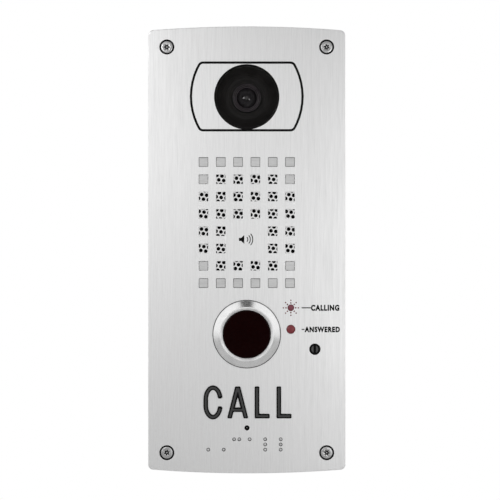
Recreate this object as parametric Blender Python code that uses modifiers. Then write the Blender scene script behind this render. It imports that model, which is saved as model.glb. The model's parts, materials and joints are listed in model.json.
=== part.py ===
"""Door intercom panel: a flush-mounted stainless call station with camera, loudspeaker and call button.

Everything is modelled in the panel's own frame, as if it lay on its back: X to the right, Y up the
panel and Z out of the wall, with Z = 0 on the wall. One empty, panel_frame, stands it upright, so that
in the world the front faces -Y and the top is +Z. "Out" below means that panel Z.
"""

import math

import bmesh
import bpy

# ---------------------------------------------------------------- driving dimensions
MM = 0.001
GAP = 0.1 * MM  # left between parts that touch

GASKET_THICKNESS = 1.2 * MM
PLATE_WIDTH = 95.3 * MM
PLATE_HEIGHT = 215.9 * MM  # between the crowns of the arched ends
PLATE_THICKNESS = 3.0 * MM
END_RISE = 1.95 * MM  # how far each arched end bulges
CORNER_RADIUS = 2.5 * MM
EDGE_ROUND = 0.7 * MM
PLATE_BACK = GASKET_THICKNESS
PLATE_FRONT = PLATE_BACK + PLATE_THICKNESS

SCREW_X, SCREW_Y = 38.6 * MM, 98.0 * MM  # security screws, from the plate's centre
SCREW_HEAD_RADIUS = 3.15 * MM
SCREW_SHANK_RADIUS = 1.75 * MM
SCREW_SINK = 0.5 * MM  # how deep the head lies under the front
SCREW_LENGTH = 20.0 * MM
COUNTERSINK_RADIUS = 3.7 * MM
COUNTERSINK_SLOPE = math.tan(math.radians(41))

CAMERA_Y = 73.9 * MM
CAMERA_HOLE_RADIUS = 15.75 * MM
WINDOW_FLANGE_RADIUS = 17.0 * MM

GRILLE_Y = 13.2 * MM
GRILLE_PITCH = 8.36 * MM
GRILLE_COLUMNS, GRILLE_ROWS = 6, 8
GRILLE_SQUARE = 4.55 * MM
BLIND_DEPTH = 0.9 * MM
GRILLE_POCKET = 1.5 * MM  # milled into the plate's back, for the sheet and the speaker's flange
POCKET_HALF = 31.8 * MM
PERFORATION_PITCH = 2.38 * MM  # 3/32 inch, staggered
PERFORATION_RADIUS = 0.79 * MM  # 1/16 inch holes
PERFORATION_TURN = math.radians(-8.5)
PERFORATION_START = (-11.23 * MM, 3.63 * MM)  # one hole's centre, from the grille's centre
SPEAKER_STUD = 25.4 * MM  # from the speaker's centre, in X and in Y

BUTTON_Y = -40.7 * MM
BEZEL_RADIUS = 16.4 * MM
SLEEVE_RADIUS = 14.0 * MM
BUTTON_LENS_RADIUS = 11.6 * MM

CALLING_LED = (21.3 * MM, -28.0 * MM, 1.5 * MM)  # X, Y, radius
ANSWERED_LED = (21.3 * MM, -38.4 * MM, 2.07 * MM)
LIGHT_SENSOR = (32.9 * MM, -48.0 * MM, 2.6 * MM)
MICROPHONE = (0.1 * MM, -86.0 * MM, 1.05 * MM)

LETTER_BASE_Y = -81.5 * MM
LETTER_HEIGHT = 15.4 * MM
LETTER_RAISE = 0.8 * MM
STROKE = 2.2 * MM

BRAILLE_X, BRAILLE_Y = -21.1 * MM, -91.5 * MM  # dot 1 of the first cell
BRAILLE_CELL, BRAILLE_DOT = 7.5 * MM, 2.5 * MM
BRAILLE_RADIUS = 0.78 * MM
BRAILLE_CELLS = ((6,), (6,), (1, 4), (1,), (1, 2, 3), (1, 2, 3))  # two capital signs, c, a, l, l

HOUSING_HALF_X, HOUSING_HALF_Y = 38.5 * MM, 93.2 * MM
HOUSING_WALL = 2.0 * MM
HOUSING_BACK = -48.0 * MM
BOARD_FRONT = -34.0 * MM
BOARD_THICKNESS = 1.6 * MM
BOARD_HALF_X, BOARD_HALF_Y = 35.0 * MM, 88.0 * MM
POST_X, POST_Y = 31.5 * MM, 84.0 * MM

JACK_X, JACK_Y = -18.0 * MM, -58.0 * MM
JACK_HALF_X, JACK_HALF_Y, JACK_BACK = 8.0 * MM, 7.6 * MM, -49.3 * MM
BLOCK_X, BLOCK_Y = 12.0 * MM, -58.0 * MM
BLOCK_POLES, BLOCK_PITCH = 6, 5.08 * MM
BLOCK_HALF_Y, BLOCK_BACK = 5.5 * MM, -49.3 * MM
RESET_X, RESET_Y = 0.0, -80.0 * MM


# ---------------------------------------------------------------- scene and materials
def clear_scene():
    for obj in list(bpy.data.objects):
        bpy.data.objects.remove(obj)


def new_collection(name):
    collection = bpy.data.collections.new(name)
    bpy.context.scene.collection.children.link(collection)
    return collection


def new_material(name, colour, roughness, metallic):
    material = bpy.data.materials.new(name)
    material.use_nodes = True
    material.diffuse_color = (*colour, 1)
    shader = material.node_tree.nodes["Principled BSDF"]
    shader.inputs["Base Color"].default_value = (*colour, 1)
    shader.inputs["Roughness"].default_value = roughness
    shader.inputs["Metallic"].default_value = metallic
    return material


clear_scene()
parts = new_collection("door_intercom_panel")
cutters = new_collection("cutters")
panel_frame = bpy.data.objects.new("panel_frame", None)
panel_frame.rotation_euler = (math.radians(90), 0, 0)
parts.objects.link(panel_frame)

STEEL = new_material("brushed_steel", (0.72, 0.72, 0.72), 0.35, 1.0)
TURNED_STEEL = new_material("turned_steel", (0.75, 0.75, 0.75), 0.25, 1.0)
SCREW_STEEL = new_material("screw_steel", (0.45, 0.45, 0.45), 0.4, 1.0)
ZINC = new_material("zinc_plate", (0.55, 0.56, 0.57), 0.4, 1.0)
BRASS = new_material("brass", (0.7, 0.5, 0.2), 0.35, 1.0)
LETTER_BLACK = new_material("letter_black", (0.03, 0.03, 0.03), 0.5, 0.0)
BLACK_PLASTIC = new_material("black_plastic", (0.025, 0.025, 0.027), 0.55, 0.0)
FOAM = new_material("black_foam", (0.02, 0.02, 0.02), 0.9, 0.0)
RUBBER = new_material("black_rubber", (0.02, 0.02, 0.02), 0.7, 0.0)
WINDOW_GLASS = new_material("smoked_window", (0.01, 0.01, 0.01), 0.05, 0.0)
LENS_GLASS = new_material("lens_glass", (0.02, 0.02, 0.05), 0.02, 0.0)
BUTTON_RED = new_material("button_red", (0.012, 0.001, 0.001), 0.15, 0.0)
LED_RED = new_material("led_red", (0.3, 0.05, 0.07), 0.3, 0.0)
SENSOR_GREY = new_material("sensor_grey", (0.06, 0.055, 0.05), 0.3, 0.0)
CLOTH = new_material("acoustic_cloth", (0.01, 0.01, 0.01), 1.0, 0.0)
CONE_PAPER = new_material("cone_paper", (0.04, 0.04, 0.04), 0.8, 0.0)
FERRITE = new_material("ferrite", (0.08, 0.08, 0.09), 0.6, 0.0)
CIRCUIT_BOARD = new_material("circuit_board", (0.02, 0.12, 0.05), 0.45, 0.0)
CONNECTOR_GREEN = new_material("connector_green", (0.05, 0.3, 0.12), 0.5, 0.0)
RESET_WHITE = new_material("reset_cap", (0.6, 0.6, 0.58), 0.5, 0.0)


# ---------------------------------------------------------------- shape tools
def add(name, mesh, material, at=(0, 0, 0), turn=0.0):
    """A part in the panel frame, with its origin at that place."""
    obj = bpy.data.objects.new(name, mesh)
    parts.objects.link(obj)
    obj.parent = panel_frame
    obj.location = at
    obj.rotation_euler = (0, 0, turn)
    mesh.materials.clear()
    mesh.materials.append(material)
    return obj


def mesh_of(bm, name="shape"):
    mesh = bpy.data.meshes.new(name)
    bm.to_mesh(mesh)
    bm.free()
    return mesh


def circle(radius, centre=(0, 0), sides=24, turn=0.0):
    steps = [turn + math.tau * k / sides for k in range(sides)]
    return [(centre[0] + radius * math.cos(a), centre[1] + radius * math.sin(a)) for a in steps]


def rounded_rectangle(half_x, half_y, radius, corner_steps=4):
    points = []
    for quarter, (sx, sy) in enumerate(((1, 1), (-1, 1), (-1, -1), (1, -1))):
        for step in range(corner_steps + 1):
            a = math.pi / 2 * (quarter + step / corner_steps)
            x = sx * (half_x - radius) + radius * math.cos(a)
            y = sy * (half_y - radius) + radius * math.sin(a)
            points.append((x, y))
    return points


def arched_outline(width, height, corner_steps=5, arc_steps=12):
    """The plate's outline: straight sides, and ends that bulge by END_RISE."""
    arc_radius = (width / 2) ** 2 / (2 * END_RISE) + END_RISE / 2
    inner = width / 2 - CORNER_RADIUS

    def end_y(x):
        return height / 2 - arc_radius + math.sqrt(arc_radius**2 - x**2)

    centre_y = end_y(inner) - CORNER_RADIUS
    turns = [math.pi / 2 * k / corner_steps for k in range(corner_steps + 1)]
    corner = [(inner + CORNER_RADIUS * math.cos(a), centre_y + CORNER_RADIUS * math.sin(a)) for a in turns]
    places = [inner * (1 - 2 * k / arc_steps) for k in range(1, arc_steps)]
    upper = corner + [(x, end_y(x)) for x in places] + [(-x, y) for x, y in reversed(corner)]
    return upper + [(-x, -y) for x, y in upper]


def flat_mesh(outlines, low, high):
    """A flat piece between two heights: the first outline is its edge, and the others are holes."""
    curve = bpy.data.curves.new("outline", "CURVE")
    curve.dimensions = "2D"
    curve.fill_mode = "BOTH"
    curve.extrude = (high - low) / 2
    for outline in outlines:
        spline = curve.splines.new("POLY")
        spline.points.add(len(outline) - 1)
        for point, (x, y) in zip(spline.points, outline):
            point.co = (x, y, 0, 1)
        spline.use_cyclic_u = True
    helper = bpy.data.objects.new("outline", curve)
    parts.objects.link(helper)
    graph = bpy.context.evaluated_depsgraph_get()
    raw = bpy.data.meshes.new_from_object(helper.evaluated_get(graph))
    bpy.data.objects.remove(helper)
    bm = bmesh.new()
    bm.from_mesh(raw)
    bmesh.ops.remove_doubles(bm, verts=bm.verts, dist=1e-6)
    bmesh.ops.recalc_face_normals(bm, faces=bm.faces)
    bmesh.ops.translate(bm, verts=bm.verts, vec=(0, 0, (low + high) / 2))
    return mesh_of(bm)


def rod_mesh(radius, low, high, centre=(0, 0), sides=16, top_radius=None):
    """A cylinder, or a cone where top_radius differs, between two heights."""
    bm = bmesh.new()
    top = radius if top_radius is None else top_radius
    bmesh.ops.create_cone(bm, cap_ends=True, segments=sides, radius1=radius, radius2=top, depth=high - low)
    bmesh.ops.translate(bm, verts=bm.verts, vec=(*centre, (low + high) / 2))
    return mesh_of(bm)


def block_mesh(half_x, half_y, low, high, centre=(0, 0)):
    bm = bmesh.new()
    bmesh.ops.create_cube(bm, size=1)
    bmesh.ops.scale(bm, verts=bm.verts, vec=(2 * half_x, 2 * half_y, high - low))
    bmesh.ops.translate(bm, verts=bm.verts, vec=(*centre, (low + high) / 2))
    return mesh_of(bm)


def dome_mesh(radius, out, centre):
    bm = bmesh.new()
    bmesh.ops.create_uvsphere(bm, u_segments=8, v_segments=6, radius=radius)
    bmesh.ops.translate(bm, verts=bm.verts, vec=(*centre, out))
    return mesh_of(bm)


def joined(meshes):
    bm = bmesh.new()
    for mesh in meshes:
        bm.from_mesh(mesh)
    return mesh_of(bm)


def profile_edges(bm, profile):
    """The vertices and edges of a profile of (radius, out) points, which runs down its outer side. One
    that starts and ends on the axis is solid when turned, and any other is closed into a ring."""
    verts = [bm.verts.new((radius, 0, out)) for radius, out in profile]
    ends = verts[1:] if profile[0][0] == 0 else verts[1:] + verts[:1]
    return verts + [bm.edges.new(pair) for pair in zip(verts, ends)]


def turned(name, profile, material, at=(0, 0, 0), steps=32):
    """A part turned from a profile."""
    bm = bmesh.new()
    profile_edges(bm, profile)
    obj = add(name, mesh_of(bm), material, at)
    screw = obj.modifiers.new("Turn", "SCREW")
    screw.steps = steps
    screw.render_steps = steps
    screw.use_merge_vertices = True
    screw.merge_threshold = 0.00001
    screw.use_smooth_shade = False
    return obj


def spun_mesh(profile, steps, centre=(0, 0)):
    """A turned shape as a plain mesh, for a Boolean."""
    bm = bmesh.new()
    geometry = profile_edges(bm, profile)
    bmesh.ops.spin(bm, geom=geometry, axis=(0, 0, 1), cent=(0, 0, 0), angle=math.tau, steps=steps)
    bmesh.ops.remove_doubles(bm, verts=bm.verts, dist=1e-6)
    bmesh.ops.recalc_face_normals(bm, faces=bm.faces)
    bmesh.ops.translate(bm, verts=bm.verts, vec=(*centre, 0))
    return mesh_of(bm)


def boolean(obj, operation, meshes):
    """Cuts the meshes from obj, or joins them to it. They are in obj's own frame."""
    tool = bpy.data.objects.new(f"{obj.name}_{operation.lower()}", joined(meshes))
    cutters.objects.link(tool)
    tool.parent = panel_frame
    tool.location = obj.location
    tool.rotation_euler = obj.rotation_euler
    tool.hide_render = True
    tool.display_type = "WIRE"
    modifier = obj.modifiers.new(operation.title(), "BOOLEAN")
    modifier.operation = operation
    modifier.object = tool


def cut(obj, *meshes):
    boolean(obj, "DIFFERENCE", meshes)


def join(obj, *meshes):
    """Joins the meshes to obj, one Boolean each, so that they may overlap one another."""
    for mesh in meshes:
        boolean(obj, "UNION", [mesh])


def bevel(obj, width, segments=1):
    modifier = obj.modifiers.new("Bevel", "BEVEL")
    modifier.width = width
    modifier.segments = segments
    modifier.limit_method = "ANGLE"


def copies(first, names, places):
    """More of a finished part: each is its own object and shares one mesh."""
    graph = bpy.context.evaluated_depsgraph_get()
    mesh = bpy.data.meshes.new_from_object(first.evaluated_get(graph))
    material = first.data.materials[0]
    for name, place in zip(names, places):
        add(name, mesh, material, place)


def hexagon_nut(name, across_flats, bore_radius, low, high, material, at):
    outline = circle(across_flats / 2 / math.cos(math.pi / 6), sides=6)
    mesh = flat_mesh([outline, circle(bore_radius, sides=12)], low, high)
    return add(name, mesh, material, at)


# ---------------------------------------------------------------- faceplate and gasket
def grille_cells():
    """(X, Y, is it open) of each square in the grille, without the four where the plain field is."""
    for row in range(GRILLE_ROWS):
        for column in range(GRILLE_COLUMNS):
            from_middle_x = abs(column - (GRILLE_COLUMNS - 1) / 2)
            from_middle_y = abs(row - (GRILLE_ROWS - 1) / 2)
            in_field = from_middle_x < 1 and row in (4, 5)
            if in_field:
                continue
            is_corner = from_middle_x > 2 and from_middle_y > 2
            is_open = from_middle_y < 3 and not is_corner
            x = (column - (GRILLE_COLUMNS - 1) / 2) * GRILLE_PITCH
            y = GRILLE_Y + ((GRILLE_ROWS - 1) / 2 - row) * GRILLE_PITCH
            yield x, y, is_open


def screw_places():
    return [(sx * SCREW_X, sy * SCREW_Y) for sy in (1, -1) for sx in (-1, 1)]


def speaker_stud_places():
    return [(sx * SPEAKER_STUD, GRILLE_Y + sy * SPEAKER_STUD) for sy in (1, -1) for sx in (-1, 1)]


def post_places():
    return [(sx * POST_X, sy * POST_Y) for sy in (1, -1) for sx in (-1, 1)]


CAMERA_STUDS = [(-20.0 * MM, CAMERA_Y + 11.0 * MM), (20.0 * MM, CAMERA_Y - 11.0 * MM)]
INDICATOR_STUDS = [(30.5 * MM, -29.0 * MM), (22.5 * MM, -50.0 * MM)]
INDICATOR_BOARD_FRONT = -6.0 * MM
STUD_RADIUS = 1.5 * MM


def make_faceplate():
    mesh = flat_mesh([arched_outline(PLATE_WIDTH, PLATE_HEIGHT)], PLATE_BACK, PLATE_FRONT)
    bm = bmesh.new()
    bm.from_mesh(mesh)
    on_front = {v for v in bm.verts if v.co.z > PLATE_FRONT - 1e-6}
    rim = [e for e in bm.edges if set(e.verts) <= on_front and e.calc_face_angle(0) > 0.5]
    bmesh.ops.bevel(bm, geom=rim, offset=EDGE_ROUND, segments=2, profile=0.5, affect="EDGES")
    plate = add("faceplate", mesh_of(bm), STEEL)

    below, above = PLATE_BACK - 1 * MM, PLATE_FRONT + 1 * MM
    holes = [
        rod_mesh(CAMERA_HOLE_RADIUS, below, above, (0, CAMERA_Y), 40),
        rod_mesh(SLEEVE_RADIUS + 0.15 * MM, below, above, (0, BUTTON_Y), 40),
        rod_mesh(MICROPHONE[2], below, above, MICROPHONE[:2], 12),
    ]
    for x, y, radius in (CALLING_LED, ANSWERED_LED, LIGHT_SENSOR):
        holes.append(rod_mesh(radius + GAP, below, above, (x, y), 16))
    for x, y, is_open in grille_cells():
        floor = below if is_open else PLATE_FRONT - BLIND_DEPTH
        holes.append(block_mesh(GRILLE_SQUARE / 2, GRILLE_SQUARE / 2, floor, above, (x, y)))
    cut(plate, *holes)
    pocket = rounded_rectangle(POCKET_HALF, POCKET_HALF, 3 * MM)
    pocket = [(x, y + GRILLE_Y) for x, y in pocket]
    cut(plate, flat_mesh([pocket], below, PLATE_BACK + GRILLE_POCKET))

    sink_floor = PLATE_FRONT - 0.35 * MM
    neck_radius = SCREW_SHANK_RADIUS + 0.25 * MM
    cone_depth = (COUNTERSINK_RADIUS - neck_radius) / COUNTERSINK_SLOPE
    profile = [
        (0, above),
        (COUNTERSINK_RADIUS, above),
        (COUNTERSINK_RADIUS, sink_floor),
        (neck_radius, sink_floor - cone_depth),
        (neck_radius, below),
        (0, below),
    ]
    cut(plate, *[spun_mesh(profile, 24, place) for place in screw_places()])

    dots = []
    for cell, numbers in enumerate(BRAILLE_CELLS):
        for number in numbers:
            column, row = divmod(number - 1, 3)
            x = BRAILLE_X + cell * BRAILLE_CELL + column * BRAILLE_DOT
            y = BRAILLE_Y - row * BRAILLE_DOT
            dots.append(dome_mesh(BRAILLE_RADIUS, PLATE_FRONT - 0.08 * MM, (x, y)))
    boolean(plate, "UNION", dots)

    root = PLATE_BACK + 0.5 * MM
    pocket_root = root + GRILLE_POCKET
    studs = [rod_mesh(STUD_RADIUS, -5.0 * MM, pocket_root, place, 12) for place in speaker_stud_places()]
    studs += [rod_mesh(STUD_RADIUS, -5.0 * MM, root, place, 12) for place in post_places()]
    studs += [rod_mesh(STUD_RADIUS, -5.5 * MM, root, place, 12) for place in CAMERA_STUDS]
    boolean(plate, "UNION", studs)
    seat = INDICATOR_BOARD_FRONT + GAP
    shoulders = [rod_mesh(2.0 * MM, seat, root, place, 12) for place in INDICATOR_STUDS]
    pins = [rod_mesh(1.0 * MM, -8.2 * MM, root, place, 8) for place in INDICATOR_STUDS]
    boolean(plate, "UNION", shoulders)
    boolean(plate, "UNION", pins)


def make_wall_gasket():
    inset = 1.4 * MM
    edge = arched_outline(PLATE_WIDTH - 2 * inset, PLATE_HEIGHT - 2 * inset, 3, 8)
    opening = rounded_rectangle(HOUSING_HALF_X + 1.1 * MM, HOUSING_HALF_Y + 1.0 * MM, 6.0 * MM, 3)
    holes = [circle(2.3 * MM, place, 12) for place in screw_places()]
    add("wall_gasket", flat_mesh([edge, opening, *holes], 0, PLATE_BACK - GAP), FOAM)


# ---------------------------------------------------------------- raised letters
def stroke_mesh(path, width):
    """A raised stroke of that width along a path, with round ends."""
    half, cap_steps = width / 2, 6
    turns = [math.atan2(b[1] - a[1], b[0] - a[0]) for a, b in zip(path, path[1:])]
    left, right = [], []
    for (x, y), before, after in zip(path, turns[:1] + turns, turns + turns[-1:]):
        middle = (before + after) / 2
        reach = half / math.cos((after - before) / 2)
        left.append((x - reach * math.sin(middle), y + reach * math.cos(middle)))
        right.append((x + reach * math.sin(middle), y - reach * math.cos(middle)))

    def cap(end, before, start_turn):
        angle = math.atan2(end[1] - before[1], end[0] - before[0]) + start_turn
        turns = [angle - math.pi * k / cap_steps for k in range(1, cap_steps)]
        return [(end[0] + half * math.cos(a), end[1] + half * math.sin(a)) for a in turns]

    far_cap = cap(path[-1], path[-2], math.pi / 2)
    near_cap = cap(path[0], path[1], math.pi / 2)
    outline = left + far_cap + right[::-1] + near_cap
    return flat_mesh([outline], PLATE_FRONT + GAP, PLATE_FRONT + GAP + LETTER_RAISE)


def letter(name, x, strokes):
    """A letter whose strokes are paths in millimetres from its left end of the base line."""
    meshes = [stroke_mesh([(px * MM, py * MM) for px, py in path], STROKE) for path in strokes]
    obj = add(name, meshes[0], LETTER_BLACK, (x * MM, LETTER_BASE_Y, 0))
    join(obj, *meshes[1:])


def letter_c_path():
    """Half an ellipse over the top, a straight back, and half an ellipse under the foot."""
    half_x, end_y, bulge, middle = 3.5, 2.9, 4.2, LETTER_HEIGHT / MM / 2
    turns = [math.pi * k / 12 for k in range(13)]
    over = [(half_x * math.cos(a), middle + end_y + bulge * math.sin(a)) for a in turns]
    return over + [(x, 2 * middle - y) for x, y in reversed(over)]


def make_letters():
    half = STROKE / MM / 2
    top = LETTER_HEIGHT / MM - half
    letter("letter_c", -16.2, [letter_c_path()])
    leg = [(3.7, half), (0.35, top)]
    bar = [(-2.55, 4.1), (2.55, 4.1)]
    letter("letter_a", -4.15, [leg, [(-x, y) for x, y in leg], bar])
    for name, x in (("letter_l_first", 5.15), ("letter_l_second", 15.75)):
        letter(name, x, [[(0, top), (0, half), (5.0, half)]])


# ---------------------------------------------------------------- security screws
def make_security_screws():
    top = PLATE_FRONT - SCREW_SINK
    rim = top - 0.25 * MM
    cone_end = rim - (SCREW_HEAD_RADIUS - SCREW_SHANK_RADIUS) / COUNTERSINK_SLOPE
    profile = [
        (0, top),
        (SCREW_HEAD_RADIUS, top),
        (SCREW_HEAD_RADIUS, rim),
        (SCREW_SHANK_RADIUS, cone_end),
        (SCREW_SHANK_RADIUS, top - SCREW_LENGTH),
        (0, top - SCREW_LENGTH),
    ]
    places = [(x, y, 0) for x, y in screw_places()]
    first = turned("security_screw_1", profile, SCREW_STEEL, places[0], steps=16)
    turns = [math.tau * k / 24 for k in range(24)]
    star = [((1.2 + 0.25 * math.cos(6 * a)) * MM, a) for a in turns]
    outline = [(r * math.cos(a), r * math.sin(a)) for r, a in star]
    pin = circle(0.45 * MM, sides=8)
    cut(first, flat_mesh([outline, pin], top - 1.2 * MM, top + 1 * MM))
    copies(first, [f"security_screw_{k}" for k in (2, 3, 4)], places[1:])


# ---------------------------------------------------------------- camera
def make_camera():
    place = (0, CAMERA_Y, 0)
    window_back = -1.6 * MM
    shoulder = 0.2 * MM
    turned(
        "camera_window",
        [
            (0, 3.6 * MM),
            (15.0 * MM, 3.5 * MM),
            (15.5 * MM, 3.1 * MM),
            (15.5 * MM, shoulder),
            (WINDOW_FLANGE_RADIUS, shoulder),
            (WINDOW_FLANGE_RADIUS, window_back),
            (0, window_back),
        ],
        WINDOW_GLASS,
        place,
        40,
    )
    seal_out, seal_in = PLATE_BACK - GAP, shoulder + GAP
    turned(
        "camera_window_seal",
        [(16.9 * MM, seal_out), (16.9 * MM, seal_in), (15.7 * MM, seal_in), (15.7 * MM, seal_out)],
        RUBBER,
        place,
    )

    flange_out, flange_in = window_back - GAP, window_back - GAP - 2.2 * MM
    flange = flat_mesh([rounded_rectangle(23.5 * MM, 16.9 * MM, 4 * MM)], flange_in, flange_out)
    body = add("camera_housing", flange, BLACK_PLASTIC, place)
    floor_out, floor_in, rear = -7.0 * MM, -8.4 * MM, -15.0 * MM
    join(body, rod_mesh(16.2 * MM, rear, flange_in + 0.5 * MM, sides=32))
    cone = rod_mesh(10.6 * MM, floor_out, flange_out + 0.2 * MM, sides=32, top_radius=14.9 * MM)
    bore = rod_mesh(7.1 * MM, floor_in - 0.5 * MM, floor_out + 0.5 * MM, sides=32)
    chamber = rod_mesh(14.6 * MM, rear - 1 * MM, floor_in, sides=32)
    cut(body, cone)
    cut(body, bore)
    cut(body, chamber)
    ears = [rod_mesh(STUD_RADIUS + 0.2 * MM, -6 * MM, 0, (x, y - CAMERA_Y), 12) for x, y in CAMERA_STUDS]
    cut(body, *ears)

    board_out = rear - GAP
    board_mesh = block_mesh(17 * MM, 17 * MM, board_out - BOARD_THICKNESS, board_out)
    board = add("camera_board", board_mesh, CIRCUIT_BOARD, place)
    holder = block_mesh(8.5 * MM, 8.5 * MM, board_out - 0.4 * MM, board_out + 4.9 * MM)
    join(board, holder)
    cut(board, rod_mesh(6.1 * MM, board_out + 0.8 * MM, board_out + 6 * MM, sides=24))
    join(board, block_mesh(3.2 * MM, 2.6 * MM, board_out + 0.4 * MM, board_out + 1.6 * MM))

    turned(
        "lens_barrel",
        [
            (6.8 * MM, -4.0 * MM),
            (6.8 * MM, -9.0 * MM),
            (5.9 * MM, -9.5 * MM),
            (5.9 * MM, -13.0 * MM),
            (3.5 * MM, -13.0 * MM),
            (3.5 * MM, -7.0 * MM),
            (5.0 * MM, -6.4 * MM),
            (5.0 * MM, -4.6 * MM),
            (5.8 * MM, -4.0 * MM),
        ],
        BLACK_PLASTIC,
        place,
    )
    turned(
        "lens_glass",
        [
            (0, -3.9 * MM),
            (2.2 * MM, -4.2 * MM),
            (4.0 * MM, -5.0 * MM),
            (4.85 * MM, -5.8 * MM),
            (4.85 * MM, -6.2 * MM),
            (3.3 * MM, -6.8 * MM),
            (0, -6.8 * MM),
        ],
        LENS_GLASS,
        place,
        24,
    )


# ---------------------------------------------------------------- grille and loudspeaker
def perforation_places(half):
    """Centres of the staggered holes that show through the open squares of the grille."""
    squares = [(x, y - GRILLE_Y) for x, y, is_open in grille_cells() if is_open]
    reach = GRILLE_SQUARE / 2 + 0.35 * PERFORATION_RADIUS
    count = int(half / PERFORATION_PITCH) + 4
    for row in range(-2 * count, 2 * count):
        for column in range(-2 * count, 2 * count):
            along, across = column + row / 2, row * math.sqrt(3) / 2
            turned_x = along * math.cos(PERFORATION_TURN) - across * math.sin(PERFORATION_TURN)
            turned_y = along * math.sin(PERFORATION_TURN) + across * math.cos(PERFORATION_TURN)
            x = PERFORATION_START[0] + PERFORATION_PITCH * turned_x
            y = PERFORATION_START[1] + PERFORATION_PITCH * turned_y
            if any(abs(x - sx) < reach and abs(y - sy) < reach for sx, sy in squares):
                yield x, y


def make_grille():
    place = (0, GRILLE_Y, GRILLE_POCKET)
    half = 31.4 * MM
    out, back = PLATE_BACK - GAP, PLATE_BACK - GAP - 0.8 * MM
    stud_holes = [circle(1.75 * MM, (x, y - GRILLE_Y), 12) for x, y in speaker_stud_places()]
    perforations = [circle(PERFORATION_RADIUS, centre, 6) for centre in perforation_places(half)]
    edge = rounded_rectangle(half, half, 3 * MM, 3)
    add("grille_sheet", flat_mesh([edge, *stud_holes, *perforations], back, out), STEEL, place)
    cloth_half = 23.8 * MM
    cloth = flat_mesh([rounded_rectangle(cloth_half, cloth_half, 3 * MM, 3)], back - 0.35 * MM, back - GAP)
    add("grille_cloth", cloth, CLOTH, place)


def make_speaker():
    place = (0, GRILLE_Y, GRILLE_POCKET)
    turned(
        "speaker_gasket",
        [(31.0 * MM, -0.2 * MM), (31.0 * MM, -1.9 * MM), (27.9 * MM, -1.9 * MM), (27.9 * MM, -0.2 * MM)],
        FOAM,
        place,
    )
    flange_out, flange_in = -2.0 * MM, -3.0 * MM
    stud_holes = [circle(1.8 * MM, (x, y - GRILLE_Y), 12) for x, y in speaker_stud_places()]
    edge = rounded_rectangle(31.2 * MM, 31.2 * MM, 4 * MM, 3)
    flange = flat_mesh([edge, circle(27.8 * MM, sides=32), *stud_holes], flange_in, flange_out)
    frame = add("speaker_frame", flange, ZINC, place)
    basket = spun_mesh(
        [
            (29.2 * MM, flange_in + 0.4 * MM),
            (28.4 * MM, -4.4 * MM),
            (19.0 * MM, -12.0 * MM),
            (19.0 * MM, -15.0 * MM),
            (7.5 * MM, -15.0 * MM),
            (7.5 * MM, -13.2 * MM),
            (17.6 * MM, -13.2 * MM),
            (17.6 * MM, -11.6 * MM),
            (27.5 * MM, -3.9 * MM),
            (27.8 * MM, flange_in + 0.4 * MM),
        ],
        32,
    )
    join(frame, basket)
    turned(
        "speaker_surround",
        [
            (27.5 * MM, -2.2 * MM),
            (27.5 * MM, -2.7 * MM),
            (26.2 * MM, -2.0 * MM),
            (24.9 * MM, -2.6 * MM),
            (24.8 * MM, -2.1 * MM),
            (26.2 * MM, -1.3 * MM),
        ],
        RUBBER,
        place,
    )
    turned(
        "speaker_cone",
        [
            (0, -6.0 * MM),
            (3.8 * MM, -6.6 * MM),
            (6.9 * MM, -8.4 * MM),
            (24.3 * MM, -2.2 * MM),
            (24.3 * MM, -2.9 * MM),
            (7.0 * MM, -9.4 * MM),
            (6.8 * MM, -17.5 * MM),
            (6.4 * MM, -17.5 * MM),
            (6.4 * MM, -9.2 * MM),
            (3.6 * MM, -7.3 * MM),
            (0, -6.7 * MM),
        ],
        CONE_PAPER,
        place,
    )
    turned(
        "speaker_magnet",
        [(18.0 * MM, -15.1 * MM), (18.0 * MM, -22.0 * MM), (9.0 * MM, -22.0 * MM), (9.0 * MM, -15.1 * MM)],
        FERRITE,
        place,
    )
    turned(
        "speaker_yoke",
        [
            (0, -13.2 * MM),
            (5.9 * MM, -13.2 * MM),
            (5.9 * MM, -22.1 * MM),
            (17.0 * MM, -22.1 * MM),
            (17.0 * MM, -25.0 * MM),
            (0, -25.0 * MM),
        ],
        ZINC,
        place,
    )
    for k, (x, y) in enumerate(speaker_stud_places(), 1):
        low, high = flange_in - GAP - 2.4 * MM, flange_in - GAP
        hexagon_nut(f"speaker_nut_{k}", 5.5 * MM, STUD_RADIUS + GAP, low, high, ZINC, (x, y, GRILLE_POCKET))


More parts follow.
